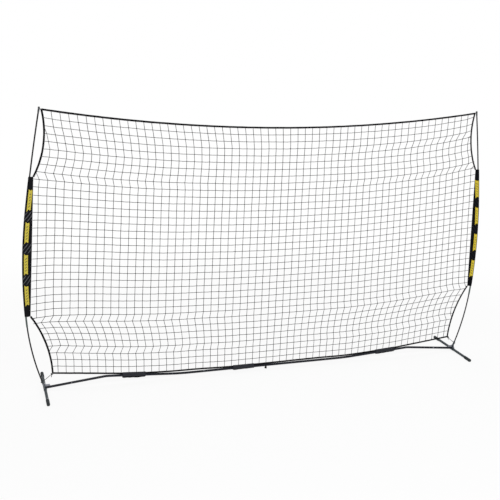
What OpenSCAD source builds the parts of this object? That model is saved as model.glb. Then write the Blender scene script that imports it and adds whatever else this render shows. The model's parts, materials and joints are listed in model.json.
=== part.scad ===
// Free-standing sports barrier net, about 12 ft by 7 ft.
// Two T-shaped feet and a three-piece steel base tube carry a pair of jointed
// fibreglass poles. The net's tension bows the poles, and its scalloped edges
// hang from their tips, from the padded sleeves and from ties at the sockets.
// X runs along the net, -Y is the front, Z is up. Millimetres.

/* [Base tubes] */
// Distance from the centre of the net to each foot bar
foot_x = 1840; // [1500:10:2200]
// Outside diameter of the base tubes
tube_d = 19; // [16:0.5:25]
// Wall of the base tubes
tube_wall = 1.2; // [1:0.1:2]
// Height of the level centre tube's axis above the ground
base_z = 28; // [24:1:40]
// Half the length of the centre tube
joint_x = 578; // [450:1:700]
// Level run of a side tube next to the centre tube
level_run = 90; // [75:5:120]
// Rise of a side tube towards its elbow, degrees
rise_angle = 3.7; // [3.3:0.1:4.4]
// Fall from the elbow to the foot, degrees
fall_angle = 5.9; // [5:0.1:7]
// Radius of the long bend next to the level run
sweep_r = 2500; // [1500:100:3000]
// Radius of the elbow bend
elbow_r = 300; // [200:10:400]
// Length of the stub tube, from the foot bar's axis to its shoulder
stub_len = 180; // [150:5:230]
// Length of the reduced spigot that plugs into the next tube
spigot_len = 55; // [45:1:70]
// Radial play between a spigot and the tube round it
spigot_play = 0.1; // [0.05:0.05:0.3]
// Height of the centre leg's rubber tip
leg_tip_h = 9; // [6:0.5:12]
// Diameter of the centre leg
leg_d = 16; // [12:0.5:18]

/* [Feet] */
// Diameter of a foot bar
foot_d = 22; // [20:0.5:22]
// Wall of a foot bar
foot_wall = 1.5; // [1:0.1:2.5]
// Length of a foot bar with its boots
foot_len = 604; // [500:2:800]
// Outside diameter of a rubber boot
boot_d = 26; // [25.5:0.5:32]
// Length of a boot
boot_len = 82; // [60:1:110]
// Width of the flat sole under a boot
sole_w = 14; // [10:1:18]
// Length of the tee sleeve that joins foot bar, stub and socket
tee_len = 64; // [50:1:90]
// Wall of the tee sleeve
tee_wall = 1.7; // [1.2:0.1:1.7]
// Thickness of the gusset plates
gusset_t = 3; // [2:0.5:4]
// Reach of the gusset plates along the tubes
gusset_run = 34; // [28:1:44]

/* [Poles] */
// Diameter of the fibreglass poles
pole_d = 11; // [9:0.5:12]
// Outward lean of a pole where it stands in its socket, degrees
pole_lean = 18.6; // [17:0.1:20]
// Length along the pole from the foot bar's axis to the tip
pole_len = 2205; // [2150:5:2250]
// Straight part of the pole in and above the socket
pole_straight = 70; // [60:1:90]
// Bend radius of the pole below its sleeve
low_r = 2040; // [1900:10:2200]
// Bend radius of the pole in its sleeve
mid_r = 4530; // [4200:10:4900]
// Bend radius of the pole above its sleeve
top_r = 14670; // [12000:10:18000]
// Distance along the pole to the lower pole joint, where the lower bend ends
low_end = 605; // [590:5:620]
// Distance along the pole where the middle bend ends
mid_end = 1450; // [1400:5:1500]
// Distance along the pole to the upper pole joint
top_joint = 1625; // [1600:5:1630]
// Length of a ferrule
ferrule_len = 140; // [120:5:150]
// Outside diameter of a ferrule and of the tip cap
ferrule_d = 14; // [13.5:0.5:14]
// Radial play of a pole in its ferrules and socket
pole_play = 0.1; // [0.05:0.05:0.2]
// Outside diameter of a pole socket
socket_d = 16; // [15:0.5:18]
// Top of the socket along the pole's axis
socket_top = 72; // [66:1:90]
// Length of the tip cap
cap_len = 38; // [30:1:50]

/* [Sleeves] */
// Height of the sleeve's lower end
sleeve_low = 617; // [600:1:630]
// Height of the sleeve's upper end
sleeve_high = 1690; // [1670:1:1700]
// Distance from the pole's axis in to the hem, at the sleeve's lower end
hem_low_in = 34; // [30:1:44]
// Distance from the pole's axis in to the hem, at the sleeve's upper end
hem_high_in = 26.5; // [24:0.5:40]
// Half the greatest thickness of the padded sleeve
sleeve_bulge = 13; // [11:0.5:16]
// How far the sleeve stands out past the pole's axis
sleeve_out = 9.5; // [9:0.5:11]
// Length of a colour patch on a sleeve
patch_len = 166; // [140:2:180]
// Width of a colour patch
patch_w = 29; // [22:1:30]
// Spacing of the four colour patches
patch_pitch = 244; // [230:1:250]
// Height of the lowest patch's middle
patch_low = 786; // [770:1:800]

/* [Net] */
// How far in from the pole's tip the net's top corners are
top_corner_in = 16; // [14:1:34]
// How far below the pole's tip the net's top corners are
top_corner_drop = 15; // [13:1:34]
// How far in from the foot bars the net's bottom corners are
low_corner_in = 62; // [55:1:80]
// Height of the net's bottom corners
low_corner_z = 135; // [125:1:150]
// Sag of the top edge
top_sag = 127; // [80:1:180]
// Sag of the side edge above the sleeve
high_sag = 43; // [30:1:55]
// Sag of the side edge below the sleeve
low_sag = 34; // [20:1:45]
// Width of the edge binding
bind_w = 13; // [10:1:16]
// Thickness of the edge binding
bind_t = 4; // [3:0.5:5]
// Thickness of the netting
net_t = 2.4; // [1.5:0.1:2.5]
// Width of a netting strand
strand_w = 3; // [2:0.5:6]
// Columns of gaps in the netting
net_cols = 20; // [14:1:24]
// Rows of gaps in the netting
net_rows = 10; // [8:1:12]
// Distance from the centre to the outer end of the side wraps
wrap_out_x = 1232; // [1200:1:1240]
// Length of a wrap along the tube
wrap_len = 188; // [150:1:210]
// Distance of the middle wrap from the centre
mid_wrap_x = 202; // [150:1:260]
// Thickness of a wrap's fabric
wrap_t = 1.6; // [1:0.1:2.5]
// How far a wrap hangs below the tube
wrap_hang = 6; // [3:0.5:9]
// Diameter of the elastic tie cord
tie_d = 4.5; // [3:0.5:5]

/* [Snap buttons] */
// Diameter of a snap button
button_d = 8; // [6:0.5:9]
// How far a button stands proud of its tube
button_proud = 3; // [2:0.5:4]
// Play round a button in its hole
button_play = 0.35; // [0.3:0.05:0.5]
// Distance of a button from the mouth of its joint
button_set = 26; // [22:1:32]
// Direction of the centre buttons above the horizontal, degrees
centre_button_angle = 45; // [0:5:80]
// Thickness of the spring strip behind a button
spring_t = 0.6; // [0.4:0.1:0.8]
// Width of the spring strip
spring_w = 7; // [5:0.5:8]

/* [Hidden] */
$fn = 48;
bend_fn = 720;            // steps of a full turn in a tube's bend
join_gap = 0.02;          // hairline left at the seam between two sections of a tube
seam_len = 3;             // length of the ring that joins the sections over a seam
seam_in = 0.3;            // how much thinner that ring is than the wall round it

STEEL = "#23262e";
FOOT = "#2c3440";
RUBBER = "#1d211f";
ZINC = "#b9bcc4";
GLASS = "#141414";
FERRULE = "#5f6f68";
FABRIC = "#1b1b1e";
PATCH = "#d9cb2b";
CORD = "#7d7d70";

weld_gap = 0.05;          // room left between pieces that are welded or sewn together
thread_gap = 0.3;         // room left between pieces that only lie side by side
foot_z = boot_d / 2;      // axis of a foot bar
stub_z = foot_z + 5;      // height at which the stub's axis would cross the foot bar's
tee_d = foot_d + 2 * tee_wall + 2 * weld_gap;
tube_id = tube_d - 2 * tube_wall;
spigot_d = tube_id - 2 * spigot_play;
spigot_id = spigot_d - 2 * tube_wall;
step_t = 2;               // thickness of the step behind a spigot

// ---- Tracks: chains of [length, turn] in the XZ plane, straight where turn is 0 ----

function seg_r(seg) = seg[0] * 180 / (PI * seg[1]);

function seg_end(p, h, seg) =
    seg[1] == 0 ? p + seg[0] * [cos(h), sin(h)]
    : p + seg_r(seg) * [sin(h + seg[1]) - sin(h), cos(h) - cos(h + seg[1])];

function part_of(seg, len) = [len, seg[1] * len / seg[0]];

// Point and heading at a distance s along a track that starts at p with heading h
function track_at(track, p, h, s, i = 0) =
    i == len(track) - 1 || s <= track[i][0]
    ? [seg_end(p, h, part_of(track[i], s)), h + track[i][1] * s / track[i][0]]
    : track_at(track, seg_end(p, h, track[i]), h + track[i][1], s - track[i][0], i + 1);

// The stretch of a track between the distances a and b
function track_cut(track, a, b, i = 0) =
    i == len(track) ? []
    : let (len_i = track[i][0], from = max(a, 0), to = min(b, len_i))
      concat(to - from > 0.001 ? [part_of(track[i], to - from)] : [],
             track_cut(track, a - len_i, b - len_i, i + 1));

module ring_2d(d, bore) {
    difference() {
        circle(d = d, $fn = 48);
        if (bore > 0) circle(d = bore, $fn = 48);
    }
}

// One straight or bent section of a tube, or of a solid bar where bore is 0
module section(seg, p, h, d, bore) {
    if (seg[1] == 0) {
        translate([p.x, 0, p.y]) rotate([0, 90 - h, 0])
            linear_extrude(seg[0] - join_gap) ring_2d(d, bore);
    } else {
        r = seg_r(seg);
        hub = p + r * [-sin(h), cos(h)];
        trim = join_gap / abs(r) * 180 / PI;
        from = r > 0 ? h - 90 : h + 90 + seg[1] + trim;
        translate([hub.x, 0, hub.y]) rotate([90, 0, 0]) rotate([0, 0, from])
            rotate_extrude(angle = abs(seg[1]) - trim, $fn = bend_fn)
                translate([abs(r), 0]) ring_2d(d, bore);
    }
}

// Sections end to end, with a ring inside the wall over each seam between two of them
module chain(track, p, h, d, bore, i = 0) {
    next = seg_end(p, h, track[i]);
    turned = h + track[i][1];
    section(track[i], p, h, d, bore);
    if (i < len(track) - 1) {
        translate([next.x, 0, next.y]) rotate([0, 90 - turned, 0]) translate([0, 0, -seam_len / 2])
            linear_extrude(seam_len) ring_2d(d - seam_in, bore > 0 ? bore + seam_in : 0);
        chain(track, next, turned, d, bore, i + 1);
    }
}

// The stretch from a to b of a track that starts at p with heading h
module run_along(track, p, h, a, b, d, bore = 0) {
    from = track_at(track, p, h, a);
    chain(track_cut(track, a, b), from[0], from[1], d, bore);
}

// Puts its children at a distance along a track, local X along the track, local Z up
module at_track(track, p, h, s) {
    place = track_at(track, p, h, s);
    translate([place[0].x, 0, place[0].y]) rotate([0, -place[1], 0]) children();
}

module left() {
    mirror([1, 0, 0]) children();
}

// Slab in the plane of the net, from 2D points (x, z), centred on y = 0
module net_plate(points, thickness) {
    translate([0, thickness / 2, 0]) rotate([90, 0, 0])
        linear_extrude(thickness) polygon(points);
}

// ---- Base: level at the centre, up to the elbows, down to the feet ----

run_x = foot_x - joint_x - level_run - sweep_r * sin(rise_angle)
        - elbow_r * (sin(rise_angle) + sin(fall_angle));
run_z = stub_z - base_z - sweep_r * (1 - cos(rise_angle))
        - elbow_r * (cos(fall_angle) - cos(rise_angle));
bend = rise_angle + fall_angle;
rise_run = (run_x * sin(fall_angle) + run_z * cos(fall_angle)) / sin(bend);
fall_run = (run_x * sin(rise_angle) - run_z * cos(rise_angle)) / sin(bend);
sweep_len = sweep_r * rise_angle * PI / 180;
side_start = [joint_x, base_z];
side_track = [
    [level_run, 0],
    [sweep_len, rise_angle],
    [rise_run, 0],
    [elbow_r * bend * PI / 180, -bend],
    [fall_run, 0]];
base_len = level_run + sweep_len + rise_run + elbow_r * bend * PI / 180 + fall_run;
shoulder = base_len - stub_len;     // where a side tube meets its stub
stub_short = 6;                     // how far the stub ends before the foot bar's axis

// Centre of a snap button along the base, in the spigot that it locks
foot_button_at = shoulder - button_set;
centre_button_at = -button_set;

module on_side(s) {
    at_track(side_track, side_start, 0, s) children();
}

// Turns its children so that their +Z points out of the tube, towards the front,
// at an angle above the horizontal; local X stays along the tube
module face_front(angle) {
    rotate([90 - angle, 0, 0]) children();
}

module button_hole(angle) {
    face_front(angle) cylinder(d = button_d + 2 * button_play, h = tube_d);
}

boot_end = 11;            // thickness of a boot's closed end
bar_half = foot_len / 2 - boot_end - 1;     // half the length of the bare foot bar
rivet_d = 4;
rivet_head_h = 1.6;
rivet_y = foot_len / 2 - boot_len - 8;

module foot_bar() {
    color(FOOT) translate([foot_x, 0, foot_z]) difference() {
        rotate([90, 0, 0]) cylinder(d = foot_d, h = 2 * bar_half, center = true);
        rotate([90, 0, 0]) cylinder(d = foot_d - 2 * foot_wall, h = foot_len, center = true);
        for (end = [-1, 1]) {
            translate([0, end * rivet_y, 0]) cylinder(d = rivet_d + 2 * weld_gap, h = foot_d);
        }
    }
}

module boot() {
    round_r = 4;
    difference() {
        union() {
            rotate_extrude() {
                square([boot_d / 2, boot_len - round_r]);
                square([boot_d / 2 - round_r, boot_len]);
                translate([boot_d / 2 - round_r, boot_len - round_r]) circle(r = round_r);
            }
            translate([-sole_w / 2, -boot_d / 2, 0]) cube([sole_w, boot_d / 4, boot_len - round_r]);
        }
        translate([0, 0, -1]) cylinder(d = foot_d + 2 * weld_gap, h = boot_len - boot_end + 1);
    }
}

module boots() {
    color(RUBBER) translate([foot_x, 0, foot_z])
        for (end = [-1, 1]) {
            translate([0, end * (foot_len / 2 - boot_len), 0]) rotate([90, 0, end < 0 ? 0 : 180])
                boot();
        }
}

module tee() {
    color(FOOT) translate([foot_x, tee_len / 2, foot_z]) rotate([90, 0, 0])
        difference() {
            cylinder(d = tee_d, h = tee_len);
            translate([0, 0, -1]) cylinder(d = foot_d + 2 * weld_gap, h = tee_len + 2);
        }
}

module tee_cut() {
    translate([foot_x, foot_len, foot_z]) rotate([90, 0, 0])
        cylinder(d = tee_d + 2 * weld_gap, h = 2 * foot_len);
}

// Spigot of a reduced diameter with the step that joins it to the tube behind it,
// along local X, the tube starting at 0
module spigot() {
    rotate([0, 90, 0]) difference() {
        union() {
            translate([0, 0, -spigot_len]) cylinder(d = spigot_d, h = spigot_len + step_t);
            cylinder(d = tube_d - tube_wall, h = step_t);
        }
        translate([0, 0, -spigot_len - 1]) cylinder(d = spigot_id, h = spigot_len + 2 + step_t);
    }
}

module stub_tube() {
    color(STEEL) difference() {
        union() {
            run_along(side_track, side_start, 0, shoulder, base_len - stub_short, tube_d, tube_id);
            on_side(shoulder) spigot();
        }
        tee_cut();
        on_side(foot_button_at) button_hole(0);
    }
}

module side_tube() {
    color(STEEL) difference() {
        union() {
            run_along(side_track, side_start, 0, 0, shoulder, tube_d, tube_id);
            on_side(0) spigot();
        }
        on_side(foot_button_at) button_hole(0);
        on_side(centre_button_at) button_hole(centre_button_angle);
    }
}

module centre_tube() {
    color(STEEL) difference() {
        translate([-joint_x, 0, base_z]) rotate([0, 90, 0])
            difference() {
                cylinder(d = tube_d, h = 2 * joint_x);
                translate([0, 0, -1]) cylinder(d = tube_id, h = 2 * joint_x + 2);
            }
        for (side = [-1, 1]) {
            translate([side * (joint_x + centre_button_at), 0, base_z])
                button_hole(centre_button_angle);
        }
    }
}

module centre_leg() {
    color(STEEL) difference() {
        translate([0, 0, leg_tip_h / 2]) cylinder(d = leg_d, h = base_z - leg_tip_h / 2);
        translate([-leg_d, 0, base_z]) rotate([0, 90, 0])
            cylinder(d = tube_d + 2 * weld_gap, h = 2 * leg_d);
    }
}

module leg_tip() {
    color(RUBBER) difference() {
        cylinder(d = leg_d + 3, h = leg_tip_h);
        translate([0, 0, leg_tip_h / 2 - weld_gap]) cylinder(d = leg_d + 2 * weld_gap, h = leg_tip_h);
    }
}

// Snap button: a domed pin on a flange that stays inside the spigot
module snap_button() {
    tip = tube_d / 2 + button_proud;
    dome_r = 0.625 * button_d;
    flange_r = button_d / 2 + 0.8;
    flange_t = 1;
    flange_top = sqrt(pow(spigot_id / 2 - thread_gap, 2) - pow(flange_r, 2));
    color(ZINC) {
        rotate_extrude() intersection() {
            square([button_d / 2, tip]);
            union() {
                square([button_d, tip - dome_r]);
                translate([0, tip - dome_r]) circle(r = dome_r);
            }
        }
        translate([0, 0, flange_top - flange_t]) cylinder(r = flange_r, h = flange_t);
    }
}

// V-shaped spring strip folded inside a spigot, its upper leg under the button
module snap_spring() {
    floor_z = -sqrt(pow(spigot_id / 2 - thread_gap, 2) - pow(spring_w / 2, 2));
    under = -thread_gap;            // top of the upper leg, just below the button
    seat = 5;                       // half the level stretch under the button
    reach = 20;                     // the fold's distance from the button
    tail = 8;                       // length of the lower leg past the button
    fold = floor_z + 2.7 * spring_t;
    slope = (fold - under) / (reach - seat);
    drop = spring_t * sqrt(1 + slope * slope);
    color(ZINC) rotate([90, 0, 0]) translate([0, 0, -spring_w / 2]) linear_extrude(spring_w)
        polygon([
            [-seat, under], [seat, under], [reach, fold], [reach + spring_t, (fold + floor_z) / 2],
            [reach, floor_z], [-tail, floor_z], [-tail, floor_z + spring_t],
            [reach - spring_t / 2, floor_z + spring_t],
            [reach - spring_t / 2, fold - slope * spring_t / 2 - drop],
            [seat - thread_gap, under - drop], [-seat, under - spring_t]]);
}

module at_foot_button() {
    color(ZINC) on_side(foot_button_at) face_front(0) children();
}

module at_centre_button() {
    color(ZINC) on_side(centre_button_at) face_front(centre_button_angle) children();
}

// ---- Poles ----

pole_start = [foot_x, foot_z];
pole_heading = 90 - pole_lean;
past_tip = 50;              // the track is drawn this far beyond the pole's end
function arc_turn(length, radius) = length * 180 / (PI * radius);
pole_track = [
    [pole_straight, 0],
    [low_end - pole_straight, arc_turn(low_end - pole_straight, low_r)],
    [mid_end - low_end, arc_turn(mid_end - low_end, mid_r)],
    [pole_len + past_tip - mid_end, arc_turn(pole_len + past_tip - mid_end, top_r)]];
pole_foot = tee_d / 2 + 4;      // lower end of the pole, on the floor of its socket
pole_split = 0.5;               // half the gap between two pole sections

function pole_at(s) = track_at(pole_track, pole_start, pole_heading, s);

module pole(a, b) {
    color(GLASS) run_along(pole_track, pole_start, pole_heading, a, b, pole_d);
}

module ferrule(mid) {
    color(FERRULE) run_along(pole_track, pole_start, pole_heading,
        mid - ferrule_len / 2, mid + ferrule_len / 2, ferrule_d, pole_d + 2 * pole_play);
}

module on_pole(s) {
    at_track(pole_track, pole_start, pole_heading, s) children();
}

module socket() {
    color(FOOT) difference() {
        on_pole(0) rotate([0, 90, 0]) difference() {
            cylinder(d = socket_d, h = socket_top);
            translate([0, 0, pole_foot - weld_gap]) cylinder(d = pole_d + 2 * pole_play, h = socket_top);
        }
        tee_cut();
    }
}

gusset_top = socket_top - 24;       // end of the gussets along the socket
gusset_bend = 0.62 * gusset_top;    // where their free edges bend
gusset_lip = 4;                     // height of their feet over the tubes

// Plates between the socket and the tee: front, back and inwards over the stub
module gussets() {
    inner = socket_d / 2;
    foot = tee_d / 2;
    stub_run = gusset_run + socket_top / 6;
    color(ZINC) difference() {
        union() {
            on_pole(0) for (side = [-1, 1]) {
                translate([0, 0, -gusset_t / 2]) linear_extrude(gusset_t)
                    polygon([[foot - gusset_lip, 0], [gusset_top, 0], [gusset_top, side * (inner + 2)],
                             [gusset_bend, side * (inner + 6)], [foot + gusset_lip, side * gusset_run],
                             [foot - gusset_lip, side * gusset_run]]);
            }
            at_gusset() linear_extrude(gusset_t)
                polygon([[0, 0], [gusset_top, 0], [gusset_top, inner + 2], [gusset_bend, inner + 8],
                         [stub_z + gusset_lip / 2, stub_run], [0, stub_run]]);
        }
        on_pole(0) rotate([0, 90, 0]) cylinder(d = socket_d + 2 * weld_gap, h = 2 * socket_top);
        tee_cut();
        run_along(side_track, side_start, 0, shoulder, base_len + 30, tube_d + 2 * weld_gap);
        translate([foot_x - foot_len, -foot_len / 2, foot_z - foot_len])
            cube([2 * foot_len, foot_len, foot_len]);
    }
}

// Local X up the socket's axis and local Y towards the centre of the net
module at_gusset() {
    on_pole(0) translate([0, gusset_t / 2, 0]) rotate([90, 0, 0]) children();
}

cap_over = 4;             // how far the tip cap reaches past the pole's nominal end
groove_down = 5;          // from the cap's end to its groove
groove_w = 4;
groove_t = 1;             // depth of the groove
loop_d = 3.4;             // cord of the loop in the groove
pole_short = 10;          // how far the pole itself ends before its nominal end

// Tip cap with a groove that holds the net's top loop
module tip_cap() {
    round_r = 2;
    color(FERRULE) difference() {
        on_pole(pole_len - cap_len + cap_over) rotate([0, 90, 0]) difference() {
            rotate_extrude() {
                square([ferrule_d / 2, cap_len - round_r]);
                square([ferrule_d / 2 - round_r, cap_len]);
                translate([ferrule_d / 2 - round_r, cap_len - round_r]) circle(r = round_r);
            }
            translate([0, 0, cap_len - groove_down - groove_w]) difference() {
                cylinder(d = ferrule_d + 2, h = groove_w);
                translate([0, 0, -1]) cylinder(d = ferrule_d - 2 * groove_t, h = groove_w + 2);
            }
        }
        run_along(pole_track, pole_start, pole_heading, pole_len - 2 * cap_len,
            pole_len - pole_short + 1, pole_d + 2 * pole_play);
    }
}

// ---- Padded sleeves: a flattened tube round each pole, its hem sewn to the netting ----

sleeve_rings = 18;        // bands along a sleeve
bore_d = ferrule_d + 1.2; // channel for the pole and its ferrules
outer_n = 19;             // points round the outside, an odd number
bore_n = 12;              // points round the channel for the pole

// Distance along the pole at which it reaches the height z
function pole_s(z, lo = 0, hi = pole_len + past_tip, i = 0) =
    i == 30 ? (lo + hi) / 2
    : let (mid = (lo + hi) / 2)
      pole_at(mid)[0].y < z ? pole_s(z, mid, hi, i + 1) : pole_s(z, lo, mid, i + 1);

// The hem runs straight between its two ends
hem_low_x = pole_at(pole_s(sleeve_low))[0].x - hem_low_in;
hem_high_x = pole_at(pole_s(sleeve_high))[0].x - hem_high_in;
function hem_x(z) =
    hem_low_x + (hem_high_x - hem_low_x) * (z - sleeve_low) / (sleeve_high - sleeve_low);

// Width of the sleeve at the height z, between the hem and the outer edge
function sleeve_w(z) = pole_at(pole_s(z))[0].x + sleeve_out - hem_x(z);

sleeve_peak = 0.36;       // where the sleeve is thickest, as a share of its width from outside
hem_t = 2.4;              // thickness of the sleeve at the hem

// Half the thickness of the sleeve at a distance q in from its outer edge
function sleeve_y(q, w) =
    let (u = max(0, min(1, q / w)))
    u < sleeve_peak ? sleeve_bulge * sqrt(1 - pow((sleeve_peak - u) / sleeve_peak, 2))
    : hem_t / 2 + (sleeve_bulge - hem_t / 2)
      * pow(cos(90 * (u - sleeve_peak) / (1 - sleeve_peak)), 1.4);

// One ring of the sleeve's outside at the height z, from the outer edge round the front
function sleeve_ring(z) =
    let (w = sleeve_w(z), edge = hem_x(z) + w, half = (outer_n - 1) / 2)
    [for (i = [0 : outer_n - 1])
        let (k = min(i, outer_n - i), q = w * (1 - cos(180 * k / half)) / 2,
             y = k == 0 ? 0 : sleeve_y(q, w))
        [edge - q, i <= half ? -y : y, z]];

function bore_ring(z) =
    let (c = pole_at(pole_s(z))[0].x, slope = cos(pole_at(pole_s(z))[1] - 90))
    [for (i = [0 : bore_n - 1])
        [c + bore_d / 2 / slope * cos(360 * i / bore_n), -bore_d / 2 * sin(360 * i / bore_n), z]];

function ring_z(i) = sleeve_low + (sleeve_high - sleeve_low) * i / sleeve_rings;

// Faces between two rings of n points that start at the indices a and b
function band_faces(a, b, n, flip) =
    [for (i = [0 : n - 1], t = [0, 1])
        let (j = (i + 1) % n, f = t == 0 ? [a + i, a + j, b + j] : [a + i, b + j, b + i])
        flip ? [f[2], f[1], f[0]] : f];

// Flat end between the outside ring at o and the bore ring at b, outer_n to bore_n points
function end_faces(o, b, flip) =
    let (faces = concat(
        [for (i = [0 : outer_n - 1]) let (m = floor(i * bore_n / outer_n + 0.5) % bore_n)
            [o + i, b + m, o + (i + 1) % outer_n]],
        [for (k = [0 : bore_n - 1])
            let (m = ceil((k + 0.5) * outer_n / bore_n - 1e-6) % outer_n)
            [b + k, b + (k + 1) % bore_n, o + m]]))
    [for (f = faces) flip ? [f[2], f[1], f[0]] : f];

module sleeve() {
    outer = [for (i = [0 : sleeve_rings]) each sleeve_ring(ring_z(i))];
    bores = [for (i = [0 : sleeve_rings]) each bore_ring(ring_z(i))];
    first_bore = len(outer);
    top_o = sleeve_rings * outer_n;
    top_b = first_bore + sleeve_rings * bore_n;
    color(FABRIC) polyhedron(concat(outer, bores), concat(
        [for (i = [0 : sleeve_rings - 1])
            each band_faces(i * outer_n, (i + 1) * outer_n, outer_n, false)],
        [for (i = [0 : sleeve_rings - 1])
            each band_faces(first_bore + i * bore_n, first_bore + (i + 1) * bore_n, bore_n, true)],
        end_faces(0, first_bore, false),
        end_faces(top_o, top_b, true)));
}

// Colour patches: thin sewn panels on the front of the sleeve, with slanted ends
patch_nu = 4;             // facets across a patch
patch_nv = 5;             // facets along a patch
patch_t = 0.8;
patch_set = 13;           // gap between the sleeve's outer edge and a patch
patch_slant = 9;          // how much a patch's ends slant over its width
patch_seat = 0.35;        // gap between a patch and the sleeve's facets

function patch_point(mid, u, v, lift, long_side) =
    let (z = mid + (patch_len - patch_slant + long_side * patch_slant * (1 - 2 * u)) * (v - 0.5),
         w = sleeve_w(z), q = patch_set + patch_w * u)
    [hem_x(z) + w - q, -sleeve_y(q, w) - patch_seat - lift, z];

module patch(mid, long_side) {
    nu = patch_nu + 1;
    sheet = nu * (patch_nv + 1);
    points = [for (lift = [0, patch_t], v = [0 : patch_nv], u = [0 : patch_nu])
        patch_point(mid, u / patch_nu, v / patch_nv, lift, long_side)];
    rim = concat([for (u = [0 : patch_nu]) u],
        [for (v = [1 : patch_nv]) v * nu + patch_nu],
        [for (u = [patch_nu - 1 : -1 : 0]) patch_nv * nu + u],
        [for (v = [patch_nv - 1 : -1 : 1]) v * nu]);
    polyhedron(points, concat(
        [for (v = [0 : patch_nv - 1], u = [0 : patch_nu - 1], t = [0, 1], side = [0, 1])
            let (a = side * sheet + v * nu + u,
                 f = t == 0 ? [a, a + 1, a + nu + 1] : [a, a + nu + 1, a + nu])
            side == 0 ? f : [f[2], f[1], f[0]]],
        [for (i = [0 : len(rim) - 1], t = [0, 1])
            let (a = rim[i], b = rim[(i + 1) % len(rim)])
            t == 0 ? [a, a + sheet, b + sheet] : [a, b + sheet, b]]));
}

// long_side is 1 where the patches' longer side is at the pole, and -1 where it is at the hem
module patches(long_side) {
    color(PATCH) for (k = [0 : 3]) {
        patch(patch_low + k * patch_pitch, long_side);
    }
}

// ---- Net edges ----

top_corner = pole_at(pole_len)[0] - [top_corner_in, top_corner_drop];
low_corner = [foot_x - low_corner_in, low_corner_z];
sleeve_top_in = [hem_high_x, sleeve_high];
sleeve_low_in = [hem_low_x, sleeve_low];

// Centre and radius of the arc from a to b that bulges by sag to the right of a-b
function bow_arc(a, b, sag) =
    let (c = (b - a) / 2, h = norm(c), r = (h * h + sag * sag) / (2 * sag))
    [(a + b) / 2 + [c.y, -c.x] / h * (sag - r), r];

// Points along that arc, moved off it by off
function bow(a, b, sag, off, n) =
    let (arc = bow_arc(a, b, sag), t0 = atan2(a.y - arc[0].y, a.x - arc[0].x),
         t1 = atan2(b.y - arc[0].y, b.x - arc[0].x), turn = (t1 - t0 + 900) % 360 - 180)
    [for (i = [0 : n]) arc[0] + (arc[1] + off) * [cos(t0 + turn * i / n), sin(t0 + turn * i / n)]];

function flip_x(points) = [for (p = points) [-p.x, p.y]];
function backwards(points) = [for (i = [len(points) - 1 : -1 : 0]) points[i]];

top_left = [-top_corner.x, top_corner.y];
top_steps = 32;
side_steps = 12;
function top_edge(off) = bow(top_left, top_corner, top_sag, off, top_steps);
function high_edge(off) = bow(top_corner, sleeve_top_in, high_sag, off, side_steps);
function low_edge(off) = bow(sleeve_low_in, low_corner, low_sag, off, side_steps);

// Bottom binding: on the base tube out to the wraps, then up to the corners
bind_lift = tube_d / 2 + 2 * thread_gap + bind_w / 2;
wrap_tail = 15;           // stretch of a side wrap in which the binding already leaves the tube
leave_s = level_run + sweep_len
    + (wrap_out_x - wrap_tail - joint_x - level_run - sweep_r * sin(rise_angle)) / cos(rise_angle);
low_half = concat(
    [[0, base_z + bind_lift], [joint_x + level_run, base_z + bind_lift]],
    [for (s = [level_run + sweep_len / 3, level_run + sweep_len * 2 / 3,
               level_run + sweep_len, leave_s])
        track_at(side_track, side_start, 0, s)[0] + [0, bind_lift]],
    [low_corner]);
low_line = concat(flip_x(backwards(low_half)), [for (i = [1 : len(low_half) - 1]) low_half[i]]);
function bottom_edge(off) = [for (p = low_line) p + [0, off]];

leave_x = low_half[5].x;
leave_z = low_half[5].y;

half_w = bind_w / 2;
net_in = half_w + weld_gap;   // from the middle of a binding to the netting's edge
hem_cut = 60;                 // size of the blocks that trim the side bindings' ends

module top_binding() {
    color(FABRIC) net_plate(concat(top_edge(-half_w), backwards(top_edge(half_w))), bind_t);
}

module bottom_binding() {
    color(FABRIC) net_plate(concat(bottom_edge(-half_w), backwards(bottom_edge(half_w))), bind_t);
}

module high_binding() {
    color(FABRIC) difference() {
        net_plate(concat(high_edge(-half_w), backwards(high_edge(half_w))), bind_t);
        net_plate(concat([[0, top_corner.y + hem_cut],
            [top_corner.x + hem_cut, top_corner.y + hem_cut],
            [top_corner.x + hem_cut, top_edge(net_in)[top_steps].y]],
            backwards(top_edge(net_in))), 2 * bind_t);
        translate([hem_high_x - hem_cut, -bind_t, sleeve_high - hem_cut + thread_gap])
            cube([2 * hem_cut, 2 * bind_t, hem_cut]);
    }
}

module low_binding() {
    color(FABRIC) difference() {
        net_plate(concat(low_edge(-half_w), backwards(low_edge(half_w))), bind_t);
        translate([hem_low_x - hem_cut, -bind_t, sleeve_low - thread_gap])
            cube([2 * hem_cut, 2 * bind_t, hem_cut]);
        net_plate([[low_corner.x + hem_cut, low_corner.y - hem_cut],
            [low_corner.x + hem_cut, low_corner.y + net_in], [low_corner.x, low_corner.y + net_in],
            [leave_x, leave_z + net_in], [leave_x, low_corner.y - hem_cut]], 2 * bind_t);
    }
}

// Inner edge of the side arc from a to b at the height z
function bow_x(a, b, sag, z) =
    let (arc = bow_arc(a, b, sag), r = arc[1] + net_in)
    arc[0].x - sqrt(max(0, r * r - pow(z - arc[0].y, 2)));

function side_x(z) =
    z > sleeve_high ? bow_x(top_corner, sleeve_top_in, high_sag, z)
    : z < sleeve_low ? bow_x(sleeve_low_in, low_corner, low_sag, z)
    : hem_x(z);

top_arc = bow_arc(top_left, top_corner, top_sag);
function top_z(x) = top_arc[0].y - sqrt(pow(top_arc[1] + net_in, 2) - x * x);
function low_z(x) = lookup(abs(x), low_half) + net_in;

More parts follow.
